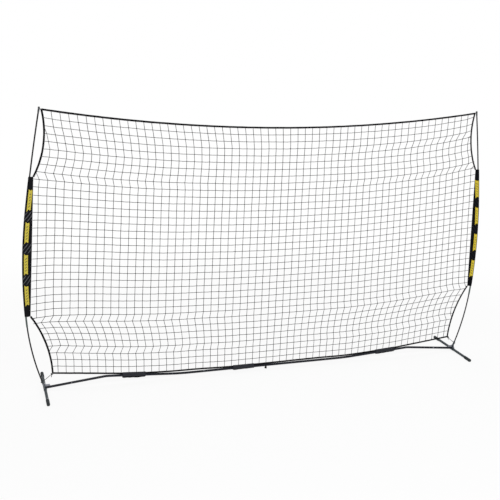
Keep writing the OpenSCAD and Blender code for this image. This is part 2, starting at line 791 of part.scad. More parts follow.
// Outline of the netting: the inner edges of the bindings and the hems
function corner_trim(points, low, high) = [for (p = points) if (p.y > low && p.y < high) p];
top_in = top_edge(net_in);
low_in = bottom_edge(net_in);
right_in = concat(
    backwards(corner_trim(low_edge(net_in), low_corner.y + half_w + 2, sleeve_low - 2)),
    [[bow_x(sleeve_low_in, low_corner, low_sag, sleeve_low), sleeve_low],
     sleeve_low_in - [weld_gap, 0], sleeve_top_in - [weld_gap, 0],
     [bow_x(top_corner, sleeve_top_in, high_sag, sleeve_high), sleeve_high]],
    backwards(corner_trim(high_edge(net_in), sleeve_high + 2, top_corner.y - half_w - 6)));
inner_top = [for (p = top_in) if (abs(p.x) < top_corner.x - half_w - 2) p];
inner_low = [for (p = low_in) if (abs(p.x) < low_corner.x - half_w - 1) p];
low_in_x = low_corner.x - net_in;
top_in_x = bow_x(top_corner, sleeve_top_in, high_sag, top_corner.y - half_w - 3);
outline = concat(
    inner_low,
    [[low_in_x, low_corner.y + net_in]],
    right_in,
    [[top_in_x, top_z(top_in_x)]],
    backwards(inner_top),
    [[-top_in_x, top_z(top_in_x)]],
    flip_x(backwards(right_in)),
    [[-low_in_x, low_corner.y + net_in]]);

// Crossing of the column line u (-1 to 1) with the row line v (0 to 1)
function knot(u, v, z = (sleeve_low + sleeve_high) / 2, i = 0) =
    let (x = u * side_x(z), next = low_z(x) + v * (top_z(x) - low_z(x)))
    i == 6 ? [x, next] : knot(u, v, next, i + 1);

rim_w = 5;                // width of the netting's rim along the bindings

function col_u(i) = 2 * i / net_cols - 1;

function gap(i, j) =
    let (a = i == 0 ? rim_w : strand_w / 2, b = i == net_cols - 1 ? rim_w : strand_w / 2,
         c = j == 0 ? rim_w : strand_w / 2, d = j == net_rows - 1 ? rim_w : strand_w / 2,
         u0 = col_u(i), u1 = col_u(i + 1), v0 = j / net_rows, v1 = (j + 1) / net_rows,
         vm = (v0 + v1) / 2)
    concat([knot(u0, v0) + [a, c], knot(u1, v0) + [-b, c]],
        i == net_cols - 1 ? [knot(u1, vm) - [b, 0]] : [],
        [knot(u1, v1) + [-b, -d], knot(u0, v1) + [a, -d]],
        i == 0 ? [knot(u0, vm) + [a, 0]] : []);

function gap_paths(gaps, start, k = 0) =
    k == len(gaps) ? []
    : concat([[for (n = [0 : len(gaps[k]) - 1]) start + n]],
        gap_paths(gaps, start + len(gaps[k]), k + 1));

module netting() {
    gaps = [for (j = [0 : net_rows - 1], i = [0 : net_cols - 1]) gap(i, j)];
    paths = concat([[for (n = [0 : len(outline) - 1]) n]], gap_paths(gaps, len(outline)));
    color(FABRIC) translate([0, net_t / 2, 0]) rotate([90, 0, 0]) linear_extrude(net_t)
        polygon(concat(outline, [for (g = gaps) each g]), paths);
}

// ---- Wraps: hook-and-loop fabric round the base tube and the bottom binding ----

module wrap() {
    inner_r = tube_d / 2 + thread_gap;
    top = bind_lift + half_w + 1;
    slot = bind_t / 2 + thread_gap;
    slit = net_t / 2 + thread_gap;
    color(FABRIC) rotate([90, 0, 90]) translate([0, 0, -wrap_len / 2]) linear_extrude(wrap_len)
        difference() {
            union() {
                circle(r = inner_r + wrap_t);
                translate([-slot - wrap_t, 0]) square([2 * (slot + wrap_t), top + wrap_t]);
                translate([-slot - wrap_t, -inner_r - wrap_hang])
                    square([2 * (slot + wrap_t), inner_r + wrap_hang]);
            }
            circle(r = inner_r);
            translate([-slot, 0]) square([2 * slot, top]);
            translate([-slit, 0]) square([2 * slit, 2 * top]);
            translate([-slot, wrap_t - inner_r - wrap_hang]) square([2 * slot, inner_r + wrap_hang]);
        }
}

// Middle of a side wrap along its tube
wrap_s = level_run + sweep_len
    + (wrap_out_x - wrap_len / 2 - joint_x - level_run - sweep_r * sin(rise_angle)) / cos(rise_angle);

module side_wrap() {
    on_side(wrap_s) wrap();
}

// ---- Ties at the net's corners ----

module cord_between(a, b, d) {
    run = b - a;
    translate([a.x, 0, a.y]) rotate([0, 90 - atan2(run.y, run.x), 0]) cylinder(d = d, h = norm(run));
}

// Elastic loop round the socket, knotted to the net's bottom corner
module low_tie() {
    ring_s = socket_top - 3 * tie_d;
    ring_r = socket_d / 2 + tie_d / 2 + thread_gap;
    ring_at = pole_at(ring_s)[0];
    h = pole_heading;
    meet = ring_at + ring_r * [-sin(h), cos(h)];
    corner = low_corner + (half_w + thread_gap) * [1, -1];
    aim = (meet - corner) / norm(meet - corner);
    knot_r = 1.3 * tie_d;
    color(CORD) {
        on_pole(ring_s) rotate([0, 90, 0]) rotate_extrude() translate([ring_r, 0]) circle(d = tie_d);
        cord_between(corner + aim * knot_r, meet, tie_d);
        translate([corner.x + aim.x * knot_r, 0, corner.y + aim.y * knot_r]) sphere(r = knot_r);
    }
}

// Loop of cord in the tip cap's groove, tied to the net's top corner
module top_loop() {
    groove_s = pole_len + cap_over - groove_down - groove_w / 2;
    ring_r = ferrule_d / 2 - groove_t + loop_d / 2 + thread_gap;
    ring_at = pole_at(groove_s)[0];
    h = pole_at(groove_s)[1];
    meet = ring_at + ring_r * [-sin(h), cos(h)];
    corner = top_corner + [half_w / 2, 0];
    color(CORD) {
        on_pole(groove_s) rotate([0, 90, 0]) rotate_extrude() translate([ring_r, 0]) circle(d = loop_d);
        cord_between(corner, meet, loop_d);
    }
}

// Round-headed rivets on top of the foot bars, beside the boots
module foot_rivets() {
    color(ZINC) for (side = [-1, 1], end = [-1, 1]) {
        translate([side * foot_x, end * rivet_y, foot_z + foot_d / 2]) {
            translate([0, 0, -foot_wall]) cylinder(d = rivet_d, h = foot_wall + rivet_head_h);
            translate([0, 0, weld_gap]) cylinder(d1 = 2 * rivet_d, d2 = rivet_d, h = rivet_head_h);
        }
    }
}

left() foot_bar();  // left_foot_bar
foot_bar();  // right_foot_bar
left() boots();  // left_boots
boots();  // right_boots
left() tee();  // left_tee
tee();  // right_tee
left() socket();  // left_socket
socket();  // right_socket
left() gussets();  // left_gussets
gussets();  // right_gussets
left() stub_tube();  // left_stub_tube
stub_tube();  // right_stub_tube
left() side_tube();  // left_side_tube
side_tube();  // right_side_tube
centre_tube();
centre_leg();
leg_tip();
left() at_foot_button() snap_button();  // left_foot_button
at_foot_button() snap_button();  // right_foot_button
left() at_centre_button() snap_button();  // left_centre_button
at_centre_button() snap_button();  // right_centre_button
left() at_foot_button() snap_spring();  // left_foot_spring
at_foot_button() snap_spring();  // right_foot_spring
left() at_centre_button() snap_spring();  // left_centre_spring
at_centre_button() snap_spring();  // right_centre_spring
left() pole(pole_foot, low_end - pole_split);  // left_lower_pole
pole(pole_foot, low_end - pole_split);  // right_lower_pole
left() pole(low_end + pole_split, top_joint - pole_split);  // left_middle_pole
pole(low_end + pole_split, top_joint - pole_split);  // right_middle_pole
left() pole(top_joint + pole_split, pole_len - pole_short);  // left_upper_pole
pole(top_joint + pole_split, pole_len - pole_short);  // right_upper_pole
left() ferrule(low_end);  // left_lower_ferrule
ferrule(low_end);  // right_lower_ferrule
left() ferrule(top_joint);  // left_upper_ferrule
ferrule(top_joint);  // right_upper_ferrule
left() tip_cap();  // left_tip_cap
tip_cap();  // right_tip_cap
left() sleeve();  // left_sleeve
sleeve();  // right_sleeve
left() patches(1);  // left_patches
patches(-1);  // right_patches
netting();
top_binding();
bottom_binding();
left() high_binding();  // left_high_binding
high_binding();  // right_high_binding
left() low_binding();  // left_low_binding
low_binding();  // right_low_binding
left() side_wrap();  // left_wrap
side_wrap();  // right_wrap
translate([-mid_wrap_x, 0, base_z]) wrap();  // middle_wrap
left() low_tie();  // left_low_tie
low_tie();  // right_low_tie
left() top_loop();  // left_top_loop
top_loop();  // right_top_loop
foot_rivets();
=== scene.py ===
"""Studio scene of a portable barrier net: cord netting, sewn edges and painted stand."""

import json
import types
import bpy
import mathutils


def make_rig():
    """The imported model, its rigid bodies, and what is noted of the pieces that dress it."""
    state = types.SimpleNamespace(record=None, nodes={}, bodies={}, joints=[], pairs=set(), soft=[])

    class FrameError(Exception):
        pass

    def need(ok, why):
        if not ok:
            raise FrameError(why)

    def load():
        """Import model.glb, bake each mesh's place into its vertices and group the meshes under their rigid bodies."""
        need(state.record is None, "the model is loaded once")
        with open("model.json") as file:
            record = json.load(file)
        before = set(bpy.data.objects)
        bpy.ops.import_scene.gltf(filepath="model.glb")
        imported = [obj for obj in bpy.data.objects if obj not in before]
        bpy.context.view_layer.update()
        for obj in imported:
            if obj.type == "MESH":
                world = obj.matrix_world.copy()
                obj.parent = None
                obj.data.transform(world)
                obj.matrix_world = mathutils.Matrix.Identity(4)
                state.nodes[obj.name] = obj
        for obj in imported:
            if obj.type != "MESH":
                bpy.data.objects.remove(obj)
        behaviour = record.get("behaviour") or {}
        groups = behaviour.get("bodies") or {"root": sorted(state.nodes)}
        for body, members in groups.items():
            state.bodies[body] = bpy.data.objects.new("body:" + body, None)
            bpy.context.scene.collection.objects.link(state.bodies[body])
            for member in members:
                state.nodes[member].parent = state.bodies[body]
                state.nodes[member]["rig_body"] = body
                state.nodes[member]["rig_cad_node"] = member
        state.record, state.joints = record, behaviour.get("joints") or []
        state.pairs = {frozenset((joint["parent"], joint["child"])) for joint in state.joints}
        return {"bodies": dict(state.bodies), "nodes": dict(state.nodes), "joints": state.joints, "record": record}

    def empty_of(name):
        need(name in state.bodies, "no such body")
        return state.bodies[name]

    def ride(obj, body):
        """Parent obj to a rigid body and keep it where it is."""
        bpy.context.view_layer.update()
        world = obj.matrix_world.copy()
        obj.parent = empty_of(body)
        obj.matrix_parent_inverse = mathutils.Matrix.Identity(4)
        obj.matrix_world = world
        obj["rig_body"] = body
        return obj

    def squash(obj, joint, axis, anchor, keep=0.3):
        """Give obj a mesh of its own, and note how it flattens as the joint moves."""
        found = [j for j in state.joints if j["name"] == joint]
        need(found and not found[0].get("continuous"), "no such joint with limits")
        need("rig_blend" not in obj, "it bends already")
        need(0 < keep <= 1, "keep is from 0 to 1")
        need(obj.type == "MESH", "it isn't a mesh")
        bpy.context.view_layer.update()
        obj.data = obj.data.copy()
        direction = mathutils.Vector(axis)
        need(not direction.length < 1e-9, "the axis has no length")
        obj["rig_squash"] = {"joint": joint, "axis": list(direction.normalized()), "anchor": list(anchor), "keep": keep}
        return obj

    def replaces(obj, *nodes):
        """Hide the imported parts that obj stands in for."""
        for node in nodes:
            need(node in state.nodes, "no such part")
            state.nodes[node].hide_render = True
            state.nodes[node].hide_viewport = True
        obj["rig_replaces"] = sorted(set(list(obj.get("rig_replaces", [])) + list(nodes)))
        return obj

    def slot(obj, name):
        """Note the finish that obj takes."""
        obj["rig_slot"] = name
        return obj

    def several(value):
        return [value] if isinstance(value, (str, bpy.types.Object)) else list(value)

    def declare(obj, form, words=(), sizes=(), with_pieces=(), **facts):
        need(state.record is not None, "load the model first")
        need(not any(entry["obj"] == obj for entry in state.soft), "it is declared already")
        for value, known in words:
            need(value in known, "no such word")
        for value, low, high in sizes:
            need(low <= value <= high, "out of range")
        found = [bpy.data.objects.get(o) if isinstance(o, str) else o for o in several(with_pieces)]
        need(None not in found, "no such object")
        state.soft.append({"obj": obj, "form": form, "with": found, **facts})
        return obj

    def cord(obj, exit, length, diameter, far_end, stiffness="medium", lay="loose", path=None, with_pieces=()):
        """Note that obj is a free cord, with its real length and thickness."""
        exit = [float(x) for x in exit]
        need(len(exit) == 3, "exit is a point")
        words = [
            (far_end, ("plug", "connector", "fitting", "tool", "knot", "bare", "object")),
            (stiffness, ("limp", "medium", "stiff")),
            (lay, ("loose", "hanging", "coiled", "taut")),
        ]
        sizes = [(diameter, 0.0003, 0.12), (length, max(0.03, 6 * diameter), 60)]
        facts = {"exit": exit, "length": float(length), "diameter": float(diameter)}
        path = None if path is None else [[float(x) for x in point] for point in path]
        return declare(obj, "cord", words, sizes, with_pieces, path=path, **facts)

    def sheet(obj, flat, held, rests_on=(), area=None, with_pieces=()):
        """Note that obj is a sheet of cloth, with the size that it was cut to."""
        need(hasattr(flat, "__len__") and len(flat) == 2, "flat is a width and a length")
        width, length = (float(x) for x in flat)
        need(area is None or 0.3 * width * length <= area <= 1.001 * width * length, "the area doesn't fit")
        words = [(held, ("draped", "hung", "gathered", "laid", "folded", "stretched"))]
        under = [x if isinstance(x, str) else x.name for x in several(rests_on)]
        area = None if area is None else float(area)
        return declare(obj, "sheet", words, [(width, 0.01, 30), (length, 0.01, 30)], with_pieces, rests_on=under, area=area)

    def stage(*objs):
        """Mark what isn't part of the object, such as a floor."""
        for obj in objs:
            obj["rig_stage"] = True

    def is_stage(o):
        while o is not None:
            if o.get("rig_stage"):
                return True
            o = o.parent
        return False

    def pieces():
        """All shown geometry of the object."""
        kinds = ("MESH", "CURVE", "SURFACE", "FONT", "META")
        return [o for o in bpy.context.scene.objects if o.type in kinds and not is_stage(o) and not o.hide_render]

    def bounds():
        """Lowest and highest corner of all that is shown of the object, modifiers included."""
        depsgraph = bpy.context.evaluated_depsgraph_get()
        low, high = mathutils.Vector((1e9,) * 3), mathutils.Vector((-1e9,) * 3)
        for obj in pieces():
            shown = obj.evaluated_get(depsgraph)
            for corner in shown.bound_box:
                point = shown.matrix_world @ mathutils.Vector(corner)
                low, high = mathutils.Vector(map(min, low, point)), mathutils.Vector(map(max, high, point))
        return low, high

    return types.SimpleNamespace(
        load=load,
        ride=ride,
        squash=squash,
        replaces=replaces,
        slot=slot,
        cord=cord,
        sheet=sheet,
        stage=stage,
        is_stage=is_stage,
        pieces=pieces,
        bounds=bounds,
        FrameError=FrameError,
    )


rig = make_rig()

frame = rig.load()

import json
import logging
import math
from dataclasses import dataclass
from enum import Enum
from typing import Iterable, Optional, Sequence, Union

import bmesh
import bpy
from mathutils import Matrix, Vector, noise

log = logging.getLogger("barrier_net")
STAND = "stand"
# Steps of a search by halves
HALVINGS = 40
Piece = bpy.types.Object
Material = bpy.types.Material
Number = Union["Sock", float]
Pair = tuple[float, float]
Point2 = tuple[float, float]
Point3 = tuple[float, float, float]
Colour = tuple[float, float, float, float]
Ring = list[tuple[Vector, float]]
Steps = tuple[Pair, ...]


# ---------------------------------------------------------------- node helpers


class Sock:
    """A shader socket that takes part in Python arithmetic."""

    def __init__(self, shop: "Shop", socket: bpy.types.NodeSocket) -> None:
        """Keeps the socket together with the shop whose tree it belongs to."""
        self.shop = shop
        self.socket = socket

    def _math(self, operation: str, *others: Number) -> "Sock":
        """Adds a Math node on this socket.

        Args:
            operation: The Math node's operation.
            others: The second and third operands.

        Returns:
            The node's result.
        """
        values = dict(enumerate((self, *others)))
        return self.shop.node("ShaderNodeMath", {"operation": operation}, values)

    def __add__(self, other: Number) -> "Sock":
        """self + other."""
        return self._math("ADD", other)

    __radd__ = __add__

    def __sub__(self, other: Number) -> "Sock":
        """self - other."""
        return self._math("SUBTRACT", other)

    def __rsub__(self, other: float) -> "Sock":
        """other - self."""
        return self.shop.node("ShaderNodeMath", {"operation": "SUBTRACT"}, {0: other, 1: self})

    def __mul__(self, other: Number) -> "Sock":
        """self * other."""
        return self._math("MULTIPLY", other)

    __rmul__ = __mul__

    def size(self) -> "Sock":
        """Absolute value."""
        return self._math("ABSOLUTE")

    def larger(self, other: Number) -> "Sock":
        """The larger of the two values."""
        return self._math("MAXIMUM", other)

    def wave(self) -> "Sock":
        """Distance to the nearest whole number, from 0 to 0.5."""
        return self._math("PINGPONG", 0.5)

    def above(self, level: float, soft: float) -> "Sock":
        """A soft step: 0 well below the level and 1 well above it.

        Args:
            level: Where the step is.
            soft: Half the width over which it rises.

        Returns:
            The step.
        """
        return self.shop.node(
            "ShaderNodeMapRange", {"interpolation_type": "SMOOTHSTEP"},
            {"Value": self, "From Min": level - soft, "From Max": level + soft})

    def below(self, level: float, soft: float) -> "Sock":
        """The opposite of above."""
        return 1.0 - self.above(level, soft)


def add_node(tree: bpy.types.NodeTree, kind: str, settings: Optional[dict],
             sockets: Optional[dict]) -> bpy.types.Node:
    """Adds a node to a tree.

    Args:
        tree: The tree that it goes into.
        kind: The node's type.
        settings: Its properties, set first.
        sockets: Values or links for its inputs, by name or index.

    Returns:
        The new node.
    """
    new = tree.nodes.new(kind)
    for key, value in (settings or {}).items():
        setattr(new, key, value)
    for key, value in (sockets or {}).items():
        link = value.socket if isinstance(value, Sock) else value
        if isinstance(link, bpy.types.NodeSocket):
            tree.links.new(link, new.inputs[key])
        else:
            new.inputs[key].default_value = value
    return new


class Shop:
    """Builds the shader tree of one material or of the world."""

    def __init__(self, name: str, world: bool = False) -> None:
        """Starts an empty material, or world, of that name."""
        self.output = "ShaderNodeOutputWorld" if world else "ShaderNodeOutputMaterial"
        self.made = (bpy.data.worlds if world else bpy.data.materials).new(name)
        self.made.use_nodes = True
        self.tree = self.made.node_tree
        self.tree.nodes.clear()

    def node(self, kind: str, settings: Optional[dict] = None, sockets: Optional[dict] = None,
             out: Union[int, str] = 0) -> Sock:
        """Adds any node and returns one of its outputs, as add_node does."""
        return Sock(self, add_node(self.tree, kind, settings, sockets).outputs[out])

    def place(self) -> Sock:
        """Object coordinates, which are the shared frame in metres."""
        return self.node("ShaderNodeTexCoord", out="Object")

    def uv(self) -> tuple[Sock, Sock]:
        """The piece's own U and V, in metres across and along it."""
        uv = self.node("ShaderNodeTexCoord", out="UV")
        return (self.node("ShaderNodeSeparateXYZ", {}, {0: uv}, 0),
                self.node("ShaderNodeSeparateXYZ", {}, {0: uv}, 1))

    def noise(self, scale: float, detail: float = 3.0, rough: float = 0.5,
              at: Optional[Sock] = None) -> Sock:
        """Noise from 0 to 1, in Object coordinates unless at is given."""
        return self.node("ShaderNodeTexNoise", {},
                         {"Vector": at or self.place(), "Scale": scale, "Detail": detail,
                          "Roughness": rough})

    def stretched(self, x: float, y: float, z: float) -> Sock:
        """Object coordinates scaled by x, y and z."""
        return self.node("ShaderNodeMapping", {}, {"Vector": self.place(), "Scale": (x, y, z)})

    def mix(self, factor: Number, low: Union[Sock, Colour],
            high: Union[Sock, Colour]) -> Sock:
        """Blends two colours."""
        return self.node("ShaderNodeMix", {"data_type": "RGBA"}, {0: factor, 6: low, 7: high}, 2)

    def bump(self, height: Sock, strength: float, depth: float,
             under: Optional[Sock] = None) -> Sock:
        """A bump of a height socket over another normal.

        Args:
            height: Relief from 0 to 1.
            strength: How much of it is kept.
            depth: Its depth in metres.
            under: The normal it lies on.

        Returns:
            The new normal.
        """
        sockets = {"Height": height, "Strength": strength, "Distance": depth}
        if under is not None:
            sockets["Normal"] = under
        return self.node("ShaderNodeBump", {}, sockets)

    def surface(self, **sockets: Union[Sock, float, Colour]) -> Material:
        """Ends the tree in a Principled shader.

        Args:
            sockets: Values or links, with underscores for the spaces in their names.

        Returns:
            The finished material.
        """
        named = {key.replace("_", " "): value for key, value in sockets.items()}
        return self.end(self.node("ShaderNodeBsdfPrincipled", {}, named))

    def end(self, shader: Sock) -> Union[Material, bpy.types.World]:
        """Links a shader to the output and returns the finished material or world."""
        out = self.tree.nodes.new(self.output)
        self.tree.links.new(shader.socket, out.inputs["Surface"])
        return self.made


def grey(level: float) -> Colour:
    """A neutral colour."""
    return (level, level, level, 1.0)


class GeoTree:
    """A Geometry Nodes tree that is written step by step."""

    def __init__(self, name: str) -> None:
        """Starts a tree with one geometry input and one output."""
        self.tree = bpy.data.node_groups.new(name, "GeometryNodeTree")
        self._socket("Geometry", "INPUT", "NodeSocketGeometry")
        self._socket("Geometry", "OUTPUT", "NodeSocketGeometry")
        self.source = self.tree.nodes.new("NodeGroupInput")
        self.sink = self.tree.nodes.new("NodeGroupOutput")

    def _socket(self, name: str, side: str, kind: str) -> None:
        """Adds a socket to the tree's interface."""
        self.tree.interface.new_socket(name, in_out=side, socket_type=kind)

    def given(self, name: str, kind: str = "NodeSocketFloat") -> bpy.types.NodeSocket:
        """Adds a named input and returns its socket."""
        if name not in self.source.outputs:
            self._socket(name, "INPUT", kind)
        return self.source.outputs[name]

    def node(self, kind: str, settings: Optional[dict] = None, sockets: Optional[dict] = None,
             out: Union[int, str] = 0) -> bpy.types.NodeSocket:
        """Adds any node and returns one of its outputs, as add_node does."""
        return add_node(self.tree, kind, settings, sockets).outputs[out]

    def marked(self, geometry: bpy.types.NodeSocket, name: str,
               value: bpy.types.NodeSocket) -> bpy.types.NodeSocket:
        """Stores a value on a geometry's points under a name that the finishes read."""
        return self.node("GeometryNodeStoreNamedAttribute",
                         {"data_type": "FLOAT", "domain": "POINT"},
                         {"Geometry": geometry, "Name": name, "Value": value})

    def joined(self, *parts: bpy.types.NodeSocket) -> bpy.types.NodeSocket:
        """Joins several geometries."""
        join = self.tree.nodes.new("GeometryNodeJoinGeometry")
        for part in parts:
            self.tree.links.new(part, join.inputs[0])
        return join.outputs[0]

    def ends_in(self, geometry: bpy.types.NodeSocket) -> "GeoTree":
        """Closes the tree with Realize Instances and Set Material."""
        real = self.node("GeometryNodeRealizeInstances", {}, {0: geometry})
        smooth = self.node("GeometryNodeSetShadeSmooth", {}, {"Geometry": real})
        finish = self.given("Finish", "NodeSocketMaterial")
        painted = self.node("GeometryNodeSetMaterial", {}, {"Geometry": smooth, "Material": finish})
        self.tree.links.new(painted, self.sink.inputs[0])
        return self

    def grow(self, name: str, seed: Piece, **values: object) -> Piece:
        """Runs the tree on a seed mesh and keeps the result as a plain mesh.

        Args:
            name: Name of the new piece.
            seed: Object whose mesh goes in; it is removed.
            values: The tree's inputs, with underscores for the spaces in their names.

        Returns:
            The new piece.
        """
        modifier = seed.modifiers.new("grow", "NODES")
        modifier.node_group = self.tree
        wanted = {key.replace("_", " "): value for key, value in values.items()}
        for item in self.tree.interface.items_tree:
            if item.item_type == "SOCKET" and item.in_out == "INPUT" and item.name in wanted:
                modifier[item.identifier] = wanted[item.name]
        graph = bpy.context.evaluated_depsgraph_get()
        mesh = bpy.data.meshes.new_from_object(seed.evaluated_get(graph), depsgraph=graph)
        seed.modifiers.remove(modifier)
        bpy.data.objects.remove(seed)
        mesh.name = name
        return add_object(name, mesh)


# ---------------------------------------------------------------- mesh helpers


def add_object(name: str, mesh: bpy.types.Mesh) -> Piece:
    """Links a new object at the origin."""
    piece = bpy.data.objects.new(name, mesh)
    bpy.context.scene.collection.objects.link(piece)
    return piece


def wire(name: str, chains: Iterable[Sequence[Vector]],
         dots: Sequence[Vector] = ()) -> Piece:
    """A mesh of edges that seeds a Geometry Nodes tree.

    Args:
        name: Name of the object.
        chains: Open runs of points, each joined by edges.
        dots: Single points, marked by the attribute "knot".

    Returns:
        The seed object.
    """
    points: list[Vector] = []
    edges: list[tuple[int, int]] = []
    for chain in chains:
        first = len(points)
        points.extend(chain)
        edges.extend((n, n + 1) for n in range(first, len(points) - 1))
    marks = [0.0] * len(points) + [1.0] * len(dots)
    points.extend(dots)
    mesh = bpy.data.meshes.new(name)
    mesh.from_pydata(points, edges, [])
    mesh.attributes.new("knot", "FLOAT", "POINT").data.foreach_set("value", marks)
    return add_object(name, mesh)


def skin(name: str, rings: Sequence[Ring], along: Sequence[float], closed: bool = True,
         caps: bool = True) -> Piece:
    """Skins rings of points with quads and writes a UV map in metres.

    Args:
        name: Name of the piece.
        rings: Rings of (point, distance across) pairs, all of one length.
        along: Distance along the piece of each ring.
        closed: Whether each ring closes on itself.
        caps: Whether the first and last ring are filled.

    Returns:
        The piece, its faces pointing outwards.
    """
    made = bmesh.new()
    layer = made.loops.layers.uv.new("surface")
    grid = [[made.verts.new(p) for p, _ in ring] for ring in rings]
    count = len(rings[0])
    spans = count if closed else count - 1
    for i in range(len(rings) - 1):
        for j in range(spans):
            k = (j + 1) % count
            face = made.faces.new((grid[i][j], grid[i][k], grid[i + 1][k], grid[i + 1][j]))
            step = (rings[i][j][0] - rings[i][k][0]).length
            across = rings[i][k][1] if k else rings[i][j][1] + step
            corners = ((rings[i][j][1], along[i]), (across, along[i]),
                       (across, along[i + 1]), (rings[i][j][1], along[i + 1]))
            for loop, corner in zip(face.loops, corners):
                loop[layer].uv = corner
            face.smooth = True
    if caps and closed:
        for ring, row, at in ((rings[0], grid[0][::-1], along[0]),
                              (rings[-1], grid[-1], along[-1])):
            face = made.faces.new(row)
            for loop in face.loops:
                loop[layer].uv = (ring[0][1], at)
    bmesh.ops.recalc_face_normals(made, faces=made.faces)
    mesh = bpy.data.meshes.new(name)
    made.to_mesh(mesh)
    made.free()
    return add_object(name, mesh)


def thicken(piece: Piece, thickness: float) -> Piece:
    """Gives an open sheet its thickness inwards."""
    solid = piece.modifiers.new("thickness", "SOLIDIFY")
    solid.thickness = thickness
    solid.offset = -1.0
    return apply_modifiers(piece)


def soften(piece: Piece, rounding: float) -> Piece:
    """Rounds a piece's sharp edges."""
    bevel = piece.modifiers.new("edge", "BEVEL")
    bevel.width = rounding
    bevel.segments = 2
    bevel.limit_method = "ANGLE"
    return apply_modifiers(piece)


def apply_modifiers(piece: Piece) -> Piece:
    """Turns a piece with modifiers into a plain mesh."""
    graph = bpy.context.evaluated_depsgraph_get()
    mesh = bpy.data.meshes.new_from_object(piece.evaluated_get(graph), depsgraph=graph)
    piece.modifiers.clear()
    old, piece.data = piece.data, mesh
    bpy.data.meshes.remove(old)
    return piece


def dress(piece: Piece, material: Material) -> Piece:
    """Gives every face of a new piece one material."""
    piece.data.materials.clear()
    piece.data.materials.append(material)
    return piece


def settle(piece: Piece, slot: str, *nodes: str) -> Piece:
    """Lets a piece ride on the stand, names its slot and hides the nodes that it stands for."""
    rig.ride(piece, STAND)
    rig.slot(piece, slot)
    if nodes:
        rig.replaces(piece, *nodes)
    faces = sum(len(p.vertices) - 2 for p in piece.data.polygons)
    log.info("%s: %d triangles", piece.name, faces)
    return piece


def joined(name: str, pieces: Sequence[Piece]) -> Piece:
    """Joins several pieces into one of that name."""
    with bpy.context.temp_override(active_object=pieces[0], selected_editable_objects=list(pieces)):
        bpy.ops.object.join()
    pieces[0].name = name
    return pieces[0]


def waver(x: float, y: float, z: float, seed: float = 0.0) -> float:
    """Smooth noise from about -1 to 1."""
    return noise.noise(Vector((x + seed, y - seed, z + 2 * seed)))


def on_circle(radius: float, start: float, stop: float, steps: int) -> list[Point2]:
    """Points on a circle round the origin between two angles."""
    angles = (start + (stop - start) * i / steps for i in range(steps + 1))
    return [(radius * math.cos(a), radius * math.sin(a)) for a in angles]


def in_net(point: Point2) -> Vector:
    """A point of the net's plane in the shared frame."""
    return Vector((point[0], 0.0, point[1]))


def side_of(x: float) -> int:
    """-1 on the left and 1 on the right."""
    return -1 if x < 0 else 1


def side_word(side: int) -> str:
    """left or right."""
    return "left" if side < 0 else "right"


def on_side(line: Iterable[Vector], side: int) -> list[Vector]:
    """A line that was built on the right, on the given side."""
    return [Vector((side * p.x, p.y, p.z)) for p in line]


def measured(points: Iterable[Vector]) -> Ring:
    """Points with the distance run up to each of them."""
    ring: Ring = []
    run = 0.0
    for point in points:
        run += (point - ring[-1][0]).length if ring else 0.0
        ring.append((point, run))
    return ring


# ---------------------------------------------------------------- the plan


@dataclass(frozen=True)
class Track:
    """A run of straight and bent stretches in the net's plane."""

    start: Point2
    heading: float
    legs: tuple[Pair, ...]

    def at(self, distance: float) -> tuple[Point2, float]:
        """Point and heading at a distance along the track.

        Args:
            distance: In metres from the start.

        Returns:
            The point (x, z) and the heading in degrees.
        """
        (x, z), h, left = self.start, self.heading, distance
        for n, (length, turn) in enumerate(self.legs):
            share = left / length if n == len(self.legs) - 1 else min(left, length) / length
            bend = math.radians(turn * share)
            a = math.radians(h)
            if turn == 0:
                x, z = x + share * length * math.cos(a), z + share * length * math.sin(a)
            else:
                r = length / math.radians(turn)
                x += r * (math.sin(a + bend) - math.sin(a))
                z += r * (math.cos(a) - math.cos(a + bend))
            h += turn * share
            left -= length
            if left <= 0:
                break
        return (x, z), h

    def height(self, z: float, reach: float) -> float:
        """Distance along a rising track, up to reach, at which it comes to the height z."""
        low, high = 0.0, reach
        for _ in range(HALVINGS):
            middle = (low + high) / 2
            low, high = (middle, high) if self.at(middle)[0][1] < z else (low, middle)
        return (low + high) / 2


@dataclass(frozen=True)
class Bow:
    """An arc between two points that bulges to the right of their direction."""

    a: Point2
    b: Point2
    sag: float

    @property
    def arc(self) -> Point3:
        """Centre x, centre z and radius."""
        cx, cz = (self.b[0] - self.a[0]) / 2, (self.b[1] - self.a[1]) / 2
        half = math.hypot(cx, cz)
        r = (half ** 2 + self.sag ** 2) / (2 * self.sag)
        return ((self.a[0] + self.b[0]) / 2 + cz / half * (self.sag - r),
                (self.a[1] + self.b[1]) / 2 - cx / half * (self.sag - r), r)

    def points(self, count: int) -> list[Point2]:
        """Points from a to b."""
        cx, cz, r = self.arc
        t0 = math.atan2(self.a[1] - cz, self.a[0] - cx)
        t1 = math.atan2(self.b[1] - cz, self.b[0] - cx)
        turn = (t1 - t0 + 3 * math.pi) % (2 * math.pi) - math.pi
        return [(cx + r * math.cos(t0 + turn * i / count),
                 cz + r * math.sin(t0 + turn * i / count)) for i in range(count + 1)]

    def x_at(self, z: float) -> float:
        """The arc's x at a height, on the side towards the net's middle."""
        cx, cz, r = self.arc
        return cx - math.sqrt(max(0.0, r * r - (z - cz) ** 2))


